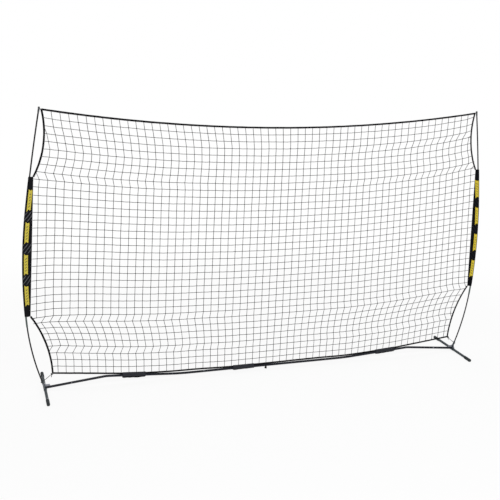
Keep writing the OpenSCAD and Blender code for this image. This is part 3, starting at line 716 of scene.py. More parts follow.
@dataclass(frozen=True)
class Plan:
    """The net's and stand's sizes in metres and degrees, the same as in the part."""

    foot_x: float = 1.840
    foot_z: float = 0.013
    base_z: float = 0.028
    tube_d: float = 0.019
    joint_x: float = 0.578
    level_run: float = 0.090
    sweep_r: float = 2.5
    rise: float = 3.7
    rising_run: float = 0.507036
    elbow_len: float = 0.0502655
    elbow_turn: float = -9.6
    falling_run: float = 0.456913
    pole_lean: float = 18.6
    pole_legs: tuple[Pair, ...] = (
        (0.070, 0), (0.535, 15.0261), (0.845, 10.6876), (0.805, 3.14404))
    pole_len: float = 2.205
    pole_reach: float = 2.24
    sleeve_low: float = 0.617
    sleeve_high: float = 1.690
    hem_low_in: float = 0.034
    hem_high_in: float = 0.0265
    bulge: float = 0.013
    sleeve_out: float = 0.0095
    hem_t: float = 0.0024
    peak: float = 0.36
    top_in: float = 0.016
    top_drop: float = 0.015
    low_in: float = 0.062
    low_corner_z: float = 0.135
    wrap_out_x: float = 1.232
    wrap_len: float = 0.188
    wrap_tail: float = 0.015
    mid_wrap_x: float = 0.202
    bind_w: float = 0.013
    bind_gap: float = 0.0006
    top_sag: float = 0.127
    high_sag: float = 0.043
    low_sag: float = 0.034

    @property
    def base(self) -> Track:
        """The right side tube's axis, from the centre joint to the foot."""
        return Track((self.joint_x, self.base_z), 0.0,
                     ((self.level_run, 0), (self.sweep_len, self.rise), (self.rising_run, 0),
                      (self.elbow_len, self.elbow_turn), (self.falling_run, 0)))

    @property
    def sweep_len(self) -> float:
        """Length of the base tube's long bend."""
        return self.sweep_r * math.radians(self.rise)

    def base_run(self, x: float) -> float:
        """Distance along the rising straight of the base tube, from the joint, at an x."""
        rise = math.radians(self.rise)
        rising = x - self.joint_x - self.level_run - self.sweep_r * math.sin(rise)
        return self.level_run + self.sweep_len + rising / math.cos(rise)

    @property
    def pole(self) -> Track:
        """The right pole's axis, from the foot bar up."""
        return Track((self.foot_x, self.foot_z), 90 - self.pole_lean, self.pole_legs)

    def pole_x(self, z: float) -> float:
        """The pole axis' x at a height."""
        return self.pole.at(self.pole.height(z, self.pole_reach))[0][0]

    @property
    def top_corner(self) -> Point2:
        """The net's right top corner."""
        x, z = self.pole.at(self.pole_len)[0]
        return x - self.top_in, z - self.top_drop

    @property
    def low_corner(self) -> Point2:
        """The net's right bottom corner."""
        return self.foot_x - self.low_in, self.low_corner_z

    @property
    def lift(self) -> float:
        """From the base tube's axis up to the middle of the bottom binding."""
        return self.tube_d / 2 + self.bind_gap + self.bind_w / 2

    @property
    def side_wrap_run(self) -> float:
        """Distance along the base tube from the centre joint to a side wrap's middle."""
        return self.base_run(self.wrap_out_x - self.wrap_len / 2)


class NetShape:
    """Edges of the net, worked out once from the plan."""

    pole_span = (0.55, 1.76)
    left_slack = 0.0085
    right_slack = 0.0045
    low_step = 0.06

    def __init__(self, plan: Plan) -> None:
        """Works out the hems, the edge arcs and the bottom line."""
        self.plan = plan
        self.hem_low = plan.pole_x(plan.sleeve_low) - plan.hem_low_in
        self.hem_high = plan.pole_x(plan.sleeve_high) - plan.hem_high_in
        top = plan.top_corner
        self.top = Bow((-top[0], top[1]), top, plan.top_sag)
        self.high = Bow(top, (self.hem_high, plan.sleeve_high), plan.high_sag)
        self.low = Bow((self.hem_low, plan.sleeve_low), plan.low_corner, plan.low_sag)
        stops = [plan.level_run + plan.sweep_len * t for t in (1 / 3, 2 / 3, 1.0)]
        stops.append(plan.base_run(plan.wrap_out_x - plan.wrap_tail))
        self.half: list[Point2] = [(0.0, plan.base_z + plan.lift),
                                   (plan.joint_x + plan.level_run, plan.base_z + plan.lift)]
        for x, z in (plan.base.at(s)[0] for s in stops):
            self.half.append((x, z + plan.lift))
        self.half.append(plan.low_corner)
        low, high = (round(z * 100) for z in self.pole_span)
        self.pole_line = [(z / 100, plan.pole_x(z / 100)) for z in range(low, high)]

    def hem_x(self, z: float) -> float:
        """The sleeve hem's x, held at its ends outside the sleeve."""
        plan = self.plan
        share = (z - plan.sleeve_low) / (plan.sleeve_high - plan.sleeve_low)
        return self.hem_low + (self.hem_high - self.hem_low) * min(1.0, max(0.0, share))

    def side_x(self, z: float) -> float:
        """Middle of the side edge at a height."""
        if z > self.plan.sleeve_high:
            return self.high.x_at(z)
        if z < self.plan.sleeve_low:
            return self.low.x_at(z)
        return self.hem_x(z)

    def top_z(self, x: float) -> float:
        """Middle of the top binding."""
        _, cz, r = self.top.arc
        return cz - math.sqrt(r * r - x * x)

    def slack(self, x: float) -> float:
        """How far the net lifts its bottom binding off the tube between two wraps."""
        plan = self.plan
        inner = plan.wrap_out_x - plan.wrap_len
        middle = (-plan.mid_wrap_x - plan.wrap_len / 2, -plan.mid_wrap_x + plan.wrap_len / 2)
        for start, end, most in ((-inner, middle[0], self.left_slack),
                                 (middle[1], inner, self.right_slack)):
            if start < x < end:
                return most * math.sin(math.pi * (x - start) / (end - start)) ** 2
        return 0.0

    def low_z(self, x: float) -> float:
        """Middle of the bottom binding."""
        out = abs(x)
        for (x0, z0), (x1, z1) in zip(self.half, self.half[1:]):
            if out <= x1:
                return z0 + (z1 - z0) * (out - x0) / (x1 - x0) + self.slack(x)
        return self.half[-1][1]

    def bottom(self) -> list[Point2]:
        """The whole bottom line, from the left corner to the right one."""
        corners = [x for x, _ in self.half]
        between = [n * self.low_step for n in range(1, 18)]
        right = sorted(set(corners + between))
        return [(x, self.low_z(x)) for x in [-x for x in right[:0:-1]] + right]

    def pole_x(self, z: float) -> float:
        """The pole's x at a height beside the sleeve."""
        n = min(len(self.pole_line) - 2, max(0, int((z - self.pole_span[0]) * 100)))
        (z0, x0), (z1, x1) = self.pole_line[n], self.pole_line[n + 1]
        return x0 + (x1 - x0) * (z - z0) / (z1 - z0)

    def sleeve_w(self, z: float) -> float:
        """Width of the sleeve from the hem to its outer edge."""
        return self.pole_x(z) + self.plan.sleeve_out - self.hem_x(z)

    def sleeve_y(self, inward: float, width: float) -> float:
        """Half the sleeve's thickness at a distance in from its outer edge."""
        plan = self.plan
        u = max(0.0, min(1.0, inward / width))
        if u < plan.peak:
            return plan.bulge * math.sqrt(1 - ((plan.peak - u) / plan.peak) ** 2)
        fall = math.cos(math.pi / 2 * (u - plan.peak) / (1 - plan.peak)) ** 1.4
        return plan.hem_t / 2 + (plan.bulge - plan.hem_t / 2) * fall


# ---------------------------------------------------------------- finishes


@dataclass(frozen=True)
class PaintedSteel:
    """Gloss powder paint on steel tube, with dust, fine scratches and rubbed spots."""

    name: str
    colour: Colour
    worn: Colour
    gloss: float = 0.30
    shine: float = 0.32
    length_scale: float = 40.0

    def build(self) -> Material:
        """Builds the material."""
        shop = Shop(self.name)
        dust = shop.noise(9.0, 5.0, 0.6)
        peel = shop.noise(900.0, 2.0)
        scratch = shop.noise(1.0, 3.0, 0.7, shop.stretched(self.length_scale, 900.0, 900.0))
        rubbed = shop.noise(60.0, 6.0, 0.7).above(0.69, 0.03)
        tone = shop.mix(dust.above(0.52, 0.2) * 0.35, self.colour, self.worn)
        tone = shop.mix(rubbed * 0.5, tone, self.worn)
        relief = shop.bump(peel, 0.25, 0.0002)
        relief = shop.bump(scratch.above(0.62, 0.05), 0.12, 0.0001, relief)
        return shop.surface(
            Base_Color=tone, Roughness=self.gloss + dust * 0.18 + rubbed * 0.2,
            Specular_IOR_Level=self.shine, Normal=relief)


@dataclass(frozen=True)
class ZincPlate:
    """Zinc-plated steel with its crystal clouding."""

    name: str = "zinc"
    bright: Colour = (0.50, 0.51, 0.55, 1.0)
    dull: Colour = (0.26, 0.27, 0.30, 1.0)

    def build(self) -> Material:
        """Builds the material."""
        shop = Shop(self.name)
        cells = shop.node("ShaderNodeTexVoronoi", {},
                          {"Vector": shop.place(), "Scale": 260.0}, "Distance")
        cloud = shop.noise(70.0, 4.0)
        tone = shop.mix(cloud.above(0.5, 0.22), self.dull, self.bright)
        return shop.surface(
            Base_Color=tone, Metallic=0.85, Roughness=0.34 + cloud * 0.25,
            Normal=shop.bump(cells * 0.6 + cloud * 0.4, 0.2, 0.0002))


@dataclass(frozen=True)
class Fibreglass:
    """Black pultruded rod: fine fibres under a glossy resin."""

    name: str = "fibreglass"
    deep: Colour = (0.0035, 0.0035, 0.004, 1.0)
    fibre: Colour = (0.012, 0.0125, 0.014, 1.0)

    def build(self) -> Material:
        """Builds the material."""
        shop = Shop(self.name)
        strands = shop.noise(1.0, 3.0, 0.6, shop.stretched(1800.0, 1800.0, 14.0))
        scuffs = shop.noise(35.0, 5.0, 0.65).above(0.66, 0.05)
        tone = shop.mix(strands.above(0.5, 0.16) * 0.7, self.deep, self.fibre)
        tone = shop.mix(scuffs * 0.25, tone, grey(0.04))
        return shop.surface(
            Base_Color=tone, Roughness=0.26 + strands * 0.16 + scuffs * 0.25,
            Specular_IOR_Level=0.2, Normal=shop.bump(strands, 0.18, 0.0002))


@dataclass(frozen=True)
class DullMetal:
    """Sleeves of coated metal or moulded caps, with turning marks round them."""

    name: str
    colour: Colour
    edge: Colour
    metallic: float = 0.6

    def build(self) -> Material:
        """Builds the material."""
        shop = Shop(self.name)
        turning = shop.noise(1.0, 2.0, 0.5, shop.stretched(30.0, 30.0, 1500.0))
        stain = shop.noise(45.0, 4.0, 0.6)
        tone = shop.mix(stain.above(0.52, 0.2) * 0.6, self.colour, self.edge)
        return shop.surface(
            Base_Color=tone, Metallic=self.metallic, Roughness=0.36 + stain * 0.22,
            Normal=shop.bump(turning, 0.15, 0.0002))


@dataclass(frozen=True)
class MouldedRubber:
    """Matt rubber with a fine grain and floor dust."""

    name: str = "rubber"
    colour: Colour = (0.014, 0.019, 0.021, 1.0)
    dusty: Colour = (0.050, 0.056, 0.055, 1.0)
    shine: float = 0.35

    def build(self) -> Material:
        """Builds the material."""
        shop = Shop(self.name)
        grain = shop.noise(1300.0, 2.0)
        height = shop.node("ShaderNodeSeparateXYZ", {}, {0: shop.place()}, 2)
        dust = shop.noise(40.0, 5.0, 0.6) * height.below(0.012, 0.012)
        tone = shop.mix(dust, self.colour, self.dusty)
        return shop.surface(
            Base_Color=tone, Roughness=0.62 + grain * 0.18, Specular_IOR_Level=self.shine,
            Normal=shop.bump(grain, 0.3, 0.0002))


@dataclass(frozen=True)
class NetCord:
    """Braided netting cord with its twist along the cord."""

    name: str = "net_cord"
    colour: Colour = (0.006, 0.006, 0.0065, 1.0)
    light: Colour = (0.024, 0.024, 0.026, 1.0)
    pitch: float = 0.0045

    def build(self) -> Material:
        """Builds the material."""
        shop = Shop(self.name)
        along = shop.node("ShaderNodeAttribute", {"attribute_name": "along"}, {}, "Fac")
        around = shop.node("ShaderNodeAttribute", {"attribute_name": "around"}, {}, "Fac")
        ply = (along * (1 / self.pitch) + around).wave() * 2.0
        fuzz = shop.noise(700.0, 3.0, 0.7)
        tone = shop.mix(ply * 0.5 + fuzz * 0.35, self.colour, self.light)
        return shop.surface(
            Base_Color=tone, Roughness=0.78, Specular_IOR_Level=0.15, Sheen_Weight=0.03,
            Sheen_Roughness=0.5, Normal=shop.bump(ply, 0.5, 0.0004))


class Weave(Enum):
    """How a woven cloth's threads cross."""

    PLAIN = 1.0
    TWILL = 2.0
    RIB = 3.0


@dataclass(frozen=True)
class WovenCloth:
    """Woven synthetic cloth or tape; its weave follows the piece's own map."""

    name: str
    colour: Colour
    light: Colour
    weave: Weave = Weave.PLAIN
    thread: float = 0.0007
    sheen: float = 0.0
    roughness: float = 0.80
    relief: float = 0.0003
    stripes: float = 0.0
    stripe_pitch: float = 0.038
    stripe_slant: float = 1.3
    stripe_ends: Pair = (0.11, 0.955)
    stripe_colour: Colour = (0.20, 0.205, 0.225, 1.0)
    bare_at: float = 0.0
    bare_pitch: float = 1.0
    # Colour of painted shade that darkens the wrap's lower flap, below the tube, where the attribute marks it
    fold: Optional[Colour] = None

    def build(self) -> Material:
        """Builds the material."""
        shop = Shop(self.name)
        u, v = shop.uv()
        warp, weft = u * (1 / self.thread), v * (1 / self.thread)
        if self.weave is Weave.TWILL:
            threads = ((warp + weft) * 0.5).wave() * 2.0
        elif self.weave is Weave.RIB:
            threads = (weft * 0.6).wave() * 1.4 + warp.wave() * 0.6
        else:
            threads = (warp * 0.5).wave() + (weft * 0.5).wave()
        slub = shop.noise(160.0, 4.0, 0.6)
        wear = shop.noise(14.0, 4.0, 0.6).above(0.5, 0.2)
        tone = shop.mix(threads * 0.4 + slub * 0.25, self.colour, self.light)
        tone = shop.mix(wear * 0.15, tone, self.light)
        if self.stripes > 0:
            tone = self.striped(shop, u, v, tone)
        # Painted shade: the flap under the tube, marked by the attribute, is darkened almost to black
        if self.fold is not None:
            mark = shop.node("ShaderNodeAttribute", {"attribute_name": "fold"}, {}, "Fac")
            tone = shop.mix(mark * 0.9, tone, self.fold)
        relief = shop.bump(threads, 0.45, self.relief)
        relief = shop.bump(slub, 0.25, 0.0008, relief)
        return shop.surface(
            Base_Color=tone, Roughness=self.roughness + slub * 0.15, Specular_IOR_Level=0.04,
            Sheen_Weight=self.sheen, Sheen_Roughness=0.45, Normal=relief)

    def striped(self, shop: Shop, u: Sock, v: Sock, tone: Sock) -> Sock:
        """Prints slanted grey lines on the cloth where no patch covers it.

        Args:
            shop: The material's shop.
            u: Distance round the cloth.
            v: Distance along it.
            tone: The cloth's colour.

        Returns:
            The colour with the lines.
        """
        low, high = self.stripe_ends
        line = ((v - u * self.stripe_slant) * (1 / self.stripe_pitch)).wave().above(0.385, 0.025)
        bare = ((v - self.bare_at) * (1 / self.bare_pitch)).wave().below(0.14, 0.03)
        middle = v.above(low, 0.004) * v.below(high, 0.004)
        faded = 0.15 + shop.noise(16.0, 2.0) * 1.1
        return shop.mix(line * bare * middle * faded * self.stripes, tone, self.stripe_colour)


@dataclass(frozen=True)
class PatchCloth:
    """Bright satin patch with a plain row of slanted dark ticks down its middle."""

    name: str
    colour: Colour
    deep: Colour
    ink: Colour = (0.030, 0.028, 0.014, 1.0)
    ticks: float = 0.024
    tick_count: int = 5
    tick_slant: float = 0.9
    tick_half: float = 0.0056
    middle: Point2 = (0.0150, 0.083)
    slant_at: float = 0.0145

    def build(self) -> Material:
        """Builds the material."""
        shop = Shop(self.name)
        u, v = shop.uv()
        satin = (u * (1 / 0.0009)).wave() * 2.0
        weft = (v * (1 / 0.0012)).wave() * 2.0
        soil = shop.noise(90.0, 5.0, 0.65)
        tone = shop.mix(satin * 0.25 + soil.above(0.5, 0.25) * 0.4, self.colour, self.deep)
        middle_u, middle_v = self.middle
        middle = (u - middle_u).size().below(self.tick_half, 0.0006)
        along = (v - middle_v - (u - self.slant_at) * self.tick_slant) * (1 / self.ticks)
        ends = along.size().below(self.tick_count / 2, 0.01)
        tick = along.wave().below(0.20, 0.02)
        tone = shop.mix(tick * middle * ends * 0.8, tone, self.ink)
        relief = shop.bump(satin * 0.6 + weft * 0.4, 0.35, 0.0002)
        return shop.surface(
            Base_Color=tone, Roughness=0.52 + soil * 0.15, Sheen_Weight=0.1,
            Sheen_Roughness=0.4, Normal=relief)


@dataclass(frozen=True)
class BraidedElastic:
    """Elastic cord under a two-tone braided cover."""

    name: str = "elastic_cord"
    colour: Colour = (0.060, 0.060, 0.048, 1.0)
    fleck: Colour = (0.010, 0.0105, 0.010, 1.0)

    def build(self) -> Material:
        """Builds the material."""
        shop = Shop(self.name)
        u, v = shop.uv()
        left = (u * (1 / 0.0035) + v * (1 / 0.0042)).wave() * 2.0
        right = (u * (1 / 0.0035) - v * (1 / 0.0042)).wave() * 2.0
        braid = left * right
        tone = shop.mix(braid.below(0.32, 0.12) * 0.8, self.colour, self.fleck)
        return shop.surface(
            Base_Color=tone, Roughness=0.7, Sheen_Weight=0.15, Sheen_Roughness=0.5,
            Normal=shop.bump(braid, 0.5, 0.0004))


@dataclass(frozen=True)
class StudioFloor:
    """Pale floor that looks white to the camera and keeps the shadows."""

    name: str = "studio_floor"
    glow: float = 0.86
    reach: float = 3.6

    def build(self) -> Material:
        """Builds the material: it shows its own light near the stand and none far off."""
        shop = Shop(self.name)
        seen = shop.node("ShaderNodeLightPath", out="Is Camera Ray")
        mirrored = shop.node("ShaderNodeLightPath", out="Is Glossy Ray")
        away = shop.node("ShaderNodeVectorMath", {"operation": "LENGTH"}, {0: shop.place()},
                         "Value").above(self.reach, 1.2)
        matt = shop.node("ShaderNodeBsdfDiffuse", {}, {"Color": grey(0.82)})
        white = shop.node("ShaderNodeEmission", {}, {"Color": grey(1.0), "Strength": 1.0})
        share = seen.larger(mirrored) * (self.glow + away * (1 - self.glow))
        return shop.end(shop.node("ShaderNodeMixShader", {}, {0: share, 1: matt, 2: white}))


# ---------------------------------------------------------------- netting


def cord_net_tree() -> GeoTree:
    """Tree that turns chains of edges into cords and single points into knots."""
    tree = GeoTree("cord_net")
    mesh = tree.source.outputs["Geometry"]
    mark = tree.node("GeometryNodeInputNamedAttribute", {"data_type": "FLOAT"},
                     {"Name": "knot"}, "Attribute")
    is_knot = tree.node("FunctionNodeCompare", {"data_type": "FLOAT", "operation": "GREATER_THAN"},
                        {"A": mark, "B": 0.5})
    chains = tree.node("GeometryNodeMeshToCurve", {}, {"Mesh": mesh})
    chains = tree.marked(chains, "along", tree.node("GeometryNodeSplineParameter", out="Length"))
    ends = tree.node("GeometryNodeCurveEndpointSelection", out="Selection")
    share = tree.node("GeometryNodeSwitch", {"input_type": "FLOAT"},
                      {"Switch": ends, "False": 1.0, "True": tree.given("End share")})
    circle = tree.node("GeometryNodeCurvePrimitiveCircle", {},
                       {"Resolution": tree.given("Sides", "NodeSocketInt"),
                        "Radius": tree.given("Cord radius")})
    circle = tree.marked(circle, "around", tree.node("GeometryNodeSplineParameter", out="Factor"))
    cords = tree.node("GeometryNodeCurveToMesh", {},
                      {"Curve": chains, "Profile Curve": circle, "Scale": share,
                       "Fill Caps": True})
    points = tree.node("GeometryNodeMeshToPoints", {}, {"Mesh": mesh, "Selection": is_knot})
    ball = tree.node("GeometryNodeMeshIcoSphere", {},
                     {"Radius": tree.given("Knot radius"), "Subdivisions": 1})
    spin = tree.node("FunctionNodeRandomValue", {"data_type": "FLOAT_VECTOR"},
                     {"Max": (0.5, 6.28, 0.5), "Seed": 11}, "Value")
    knots = tree.node("GeometryNodeInstanceOnPoints", {},
                      {"Points": points, "Instance": ball, "Rotation": spin,
                       "Scale": (1.0, 0.78, 1.0)})
    return tree.ends_in(tree.joined(cords, knots))


# Outward push of the outer columns, in metres by row from the bottom edge up, left and right
SWAY: dict[int, Steps] = {
    -1: ((0, -.032), (2, -.030), (3, -.022), (4, -.055), (5, -.042), (6, -.026), (7, -.004),
         (8, .023), (9, -.005), (13, 0), (26, -.001), (27, -.004), (28, .0165), (29, -.002),
         (30, -.0185), (31, -.025), (32, -.0155), (33, -.0055), (34, .009), (35, .018), (36, .026)),
    1: ((0, -.032), (2, -.030), (3, -.022), (4, -.046), (5, -.042), (6, -.026), (7, -.004),
        (8, .030), (9, .006), (13, 0), (18, 0), (25, -.008), (27, -.012), (28, .020),
        (29, .0125), (30, -.0075), (31, -.0125), (32, -.0075), (33, .025), (36, .026))}
# Rise of the rows beside the sleeves, in metres by row, left and right
RISE: dict[int, Steps] = {
    -1: ((4, 0), (6, -.010), (7, -.019), (8, -.031), (9, -.042), (12, -.042), (14, -.032),
         (18, -.032), (23, -.019), (26, 0)),
    1: ((17, 0), (20, .006), (24, .019), (27, .031), (35, .031), (36, 0))}


def with_tucks(chain: list[Vector], reach: float) -> list[Vector]:
    """Adds a point near each end of a chain, from which the cord narrows into its tape."""
    first = chain[0] + (chain[1] - chain[0]).normalized() * reach
    last = chain[-1] + (chain[-2] - chain[-1]).normalized() * reach
    return [chain[0], first, *chain[1:-1], last, chain[-1]]


def stepped(steps: Steps, row: float) -> float:
    """Value of (row, value) steps at a row, with straight lines between them."""
    if row <= steps[0][0]:
        return steps[0][1]
    for (r0, v0), (r1, v1) in zip(steps, steps[1:]):
        if row <= r1:
            return v0 + (v1 - v0) * (row - r0) / (r1 - r0)
    return steps[-1][1]


@dataclass
class Netting:
    """Square-mesh cord net of 61 upright and 35 level cords."""

    shape: NetShape
    columns: int = 30
    rows: int = 36
    pitch_share: float = 30.6
    cord_d: float = 0.0042
    knot_d: float = 0.0086
    tuck: float = 0.0078
    end_share: float = 0.18
    drift_top: float = 0.022
    drift_from: int = 33
    drift_middle: float = -0.55
    drift_reach: float = 1.15
    rise_from: float = 1.85
    rise_fade: Pair = (0.34, 0.30)
    sway_at: float = 1.8
    side_margin: float = 0.012
    side_gap: float = 0.005
    tuck_in_sleeve: float = 0.003
    uneven: float = 0.0016
    billow: float = 0.005
    column_wave: float = 0.0008
    row_sag: float = 0.0011
    row_wave: float = 0.0006
    middle_z: float = 1.1
    crossing_rounds: int = 6
    edge_rounds: int = 8

    def columns_across(self) -> range:
        """Numbers of the column lines, from left to right."""
        return range(-self.columns, self.columns + 1)

    def drift(self, x: float, row: float) -> float:
        """How far the uppermost rows lean to the left, most beside the middle."""
        share = (x - self.drift_middle) / self.drift_reach
        if abs(share) >= 1 or row <= self.drift_from:
            return 0.0
        climb = (row - self.drift_from) / (self.rows - self.drift_from)
        return -self.drift_top * math.cos(share * math.pi / 2) ** 2 * climb ** 1.3

    def rise(self, x: float, row: float) -> float:
        """How much higher a row runs beside the sleeve of its side."""
        fade = self.rise_fade[0 if x < 0 else 1]
        return stepped(RISE[side_of(x)], row) * math.exp(-(self.rise_from - abs(x)) / fade)

    def column_x(self, column: float, z: float) -> float:
        """x of an undisturbed column line at a height."""
        return column * self.shape.hem_x(z) / self.pitch_share

    def row_z(self, row: float, x: float) -> float:
        """Height of a row line at x."""
        low = self.shape.low_z(x)
        return low + row / self.rows * (self.shape.top_z(x) - low)

    def crossing(self, column: int, row: int) -> Point2:
        """Where a column line meets a row line."""
        z = self.middle_z
        for _ in range(self.crossing_rounds):
            x = self.column_x(column, z)
            z = self.row_z(row, x)
        return self.column_x(column, z), z

    def swayed(self, x: float, z: float) -> float:
        """x of a point of the net's plane after the net's sideways give."""
        row, side = self.row_of(x, z), side_of(x)
        third = self.rows / 3
        power = 1.0 + 0.5 * min(1.0, max(0.0, (row - third) / third))
        push = stepped(SWAY[side], row) * (abs(x) / self.sway_at) ** power
        return x + side * push + self.drift(x, row)

    def inside(self, x: float, z: float) -> bool:
        """Whether a point lies well within the side edges."""
        return abs(self.swayed(x, z)) < self.shape.side_x(z) - self.side_margin

    def row_of(self, x: float, z: float) -> float:
        """The row number of a height at x."""
        low = self.shape.low_z(x)
        return self.rows * (z - low) / (self.shape.top_z(x) - low)

    def moved(self, x: float, z: float) -> Vector:
        """Adds the net's sway, waves and unevenness to a point of its plane."""
        edge = self.shape.side_x(z) - self.side_gap
        new_x = max(-edge, min(edge, self.swayed(x, z)))
        dx = self.uneven * waver(x * 9, z * 9, 0.3, 3.1)
        dz = self.uneven * waver(x * 9, z * 9, 0.7, 8.7) + self.rise(x, self.row_of(x, z))
        y = self.billow * waver(x * 1.3, z * 1.7, 0.2, 5.0)
        return Vector((new_x + dx, y, z + dz))

    def edge_cut(self, column: int, z_in: float, z_out: float) -> Vector:
        """Point between two heights at which a column line crosses the side edge."""
        for _ in range(HALVINGS):
            middle = (z_in + z_out) / 2
            if abs(self.swayed(self.column_x(column, middle), middle)) < self.shape.side_x(middle):
                z_in = middle
            else:
                z_out = middle
        return in_net((side_of(column) * self.shape.side_x(z_in), z_in))

    def column_chain(self, column: int) -> list[Vector]:
        """Points of one upright cord from its lower to its upper edge."""
        stops = [self.crossing(column, row) for row in range(self.rows + 1)]
        held = [n for n, (x, z) in enumerate(stops) if self.inside(x, z)]
        first, last = held[0], held[-1]
        chain: list[Vector] = []
        if first > 0:
            chain.append(self.edge_cut(column, stops[first][1], stops[first - 1][1]))
        for n in range(first, last + 1):
            x, z = stops[n]
            spot = self.moved(x, z)
            chain.append(in_net((spot.x, self.row_z(n, spot.x))) if n in (0, self.rows) else spot)
            if n < last:
                x1, z1 = stops[n + 1]
                middle = self.moved((x + x1) / 2, (z + z1) / 2)
                aside = self.column_wave * waver(x * 40, z * 40, 1.0)
                chain.append(middle + Vector((aside, 0, 0)))
        if last < self.rows:
            chain.append(self.edge_cut(column, stops[last][1], stops[last + 1][1]))
        return chain

    def row_chain(self, row: int) -> list[Vector]:
        """Points of one level cord from its left to its right edge."""
        z = self.middle_z
        for _ in range(self.edge_rounds):
            z = self.row_z(row, self.shape.side_x(z))
        tucked, plan = self.shape.side_x(z), self.shape.plan
        if plan.sleeve_low < z < plan.sleeve_high:
            tucked += self.tuck_in_sleeve
        first, last = (in_net((x, z + self.rise(x, row))) for x in (-tucked, tucked))
        chain = [first]
        crossings = (self.crossing(column, row) for column in self.columns_across())
        spots = [p for p in crossings if self.inside(*p)]
        for (x0, z0), (x1, z1) in zip(spots, spots[1:]):
            middle = self.moved((x0 + x1) / 2, (z0 + z1) / 2)
            sag = self.row_sag + self.row_wave * waver(x0 * 30, z0 * 30, 2.0)
            chain += [self.moved(x0, z0), middle - Vector((0, 0, sag))]
        return [*chain, self.moved(*spots[-1]), last]

    def build(self) -> Piece:
        """Builds the net in place of its coarse solid."""
        chains = [self.column_chain(column) for column in self.columns_across()]
        chains += [self.row_chain(row) for row in range(1, self.rows)]
        chains = [with_tucks(chain, self.tuck) for chain in chains]
        crossings = (self.crossing(column, row) for row in range(1, self.rows)
                     for column in self.columns_across())
        knots = [self.moved(*p) for p in crossings if self.inside(*p)]
        net = cord_net_tree().grow(
            "netting_cords", wire("net_lines", chains, knots), Sides=6,
            Cord_radius=self.cord_d / 2, Knot_radius=self.knot_d / 2, End_share=self.end_share,
            Finish=NetCord().build())
        return settle(net, "net_cord", "netting")


# ---------------------------------------------------------------- sewn edges


def stitch_tree() -> GeoTree:
    """Tree that lays short threads end to end along chains of edges."""
    tree = GeoTree("stitches")
    rails = tree.node("GeometryNodeMeshToCurve", {}, {"Mesh": tree.source.outputs["Geometry"]})
    spots = tree.node("GeometryNodeCurveToPoints", {"mode": "LENGTH"},
                      {"Curve": rails, "Length": tree.given("Pitch")}, "Points")
    turns = spots.node.outputs["Rotation"]
    bead = tree.node("GeometryNodeMeshIcoSphere", {}, {"Radius": 1.0, "Subdivisions": 1})
    size = tree.node("ShaderNodeCombineXYZ", {},
                     {"X": tree.given("Thread"), "Y": tree.given("Thread"),
                      "Z": tree.given("Reach")})
    threads = tree.node("GeometryNodeInstanceOnPoints", {},
                        {"Points": spots, "Instance": bead, "Rotation": turns, "Scale": size})
    return tree.ends_in(threads)


@dataclass
class Sewing:
    """Thread and the rows of stitches that are asked of it."""

    tree: GeoTree
    material: Material

    def rows(self, name: str, rails: Iterable[Sequence[Vector]], pitch: float = 0.006,
             thread: float = 0.00045, reach: float = 0.0022) -> Piece:
        """Sews along rails.

        Args:
            name: Name of the new piece.
            rails: Runs of points that the stitches follow.
            pitch: Distance from stitch to stitch.
            thread: Half the thread's thickness.
            reach: Half the length of a stitch.

        Returns:
            The stitches as one mesh.
        """
        return self.tree.grow(name, wire(name + "_rails", rails), Pitch=pitch, Thread=thread,
                              Reach=reach, Finish=self.material)


# Section of a folded tape, in half widths and half thicknesses: a fold, then two lips
TAPE_SECTION: tuple[Point2, ...] = (
    (-1.0, 0.0), (-0.94, 0.62), (-0.72, 0.98), (-0.2, 1.0), (0.35, 0.93), (0.72, 1.0),
    (0.95, 0.86), (1.0, 0.35), (0.93, 0.0), (1.0, -0.35), (0.95, -0.86), (0.72, -1.0),
    (0.35, -0.93), (-0.2, -1.0), (-0.72, -0.98), (-0.94, -0.62))


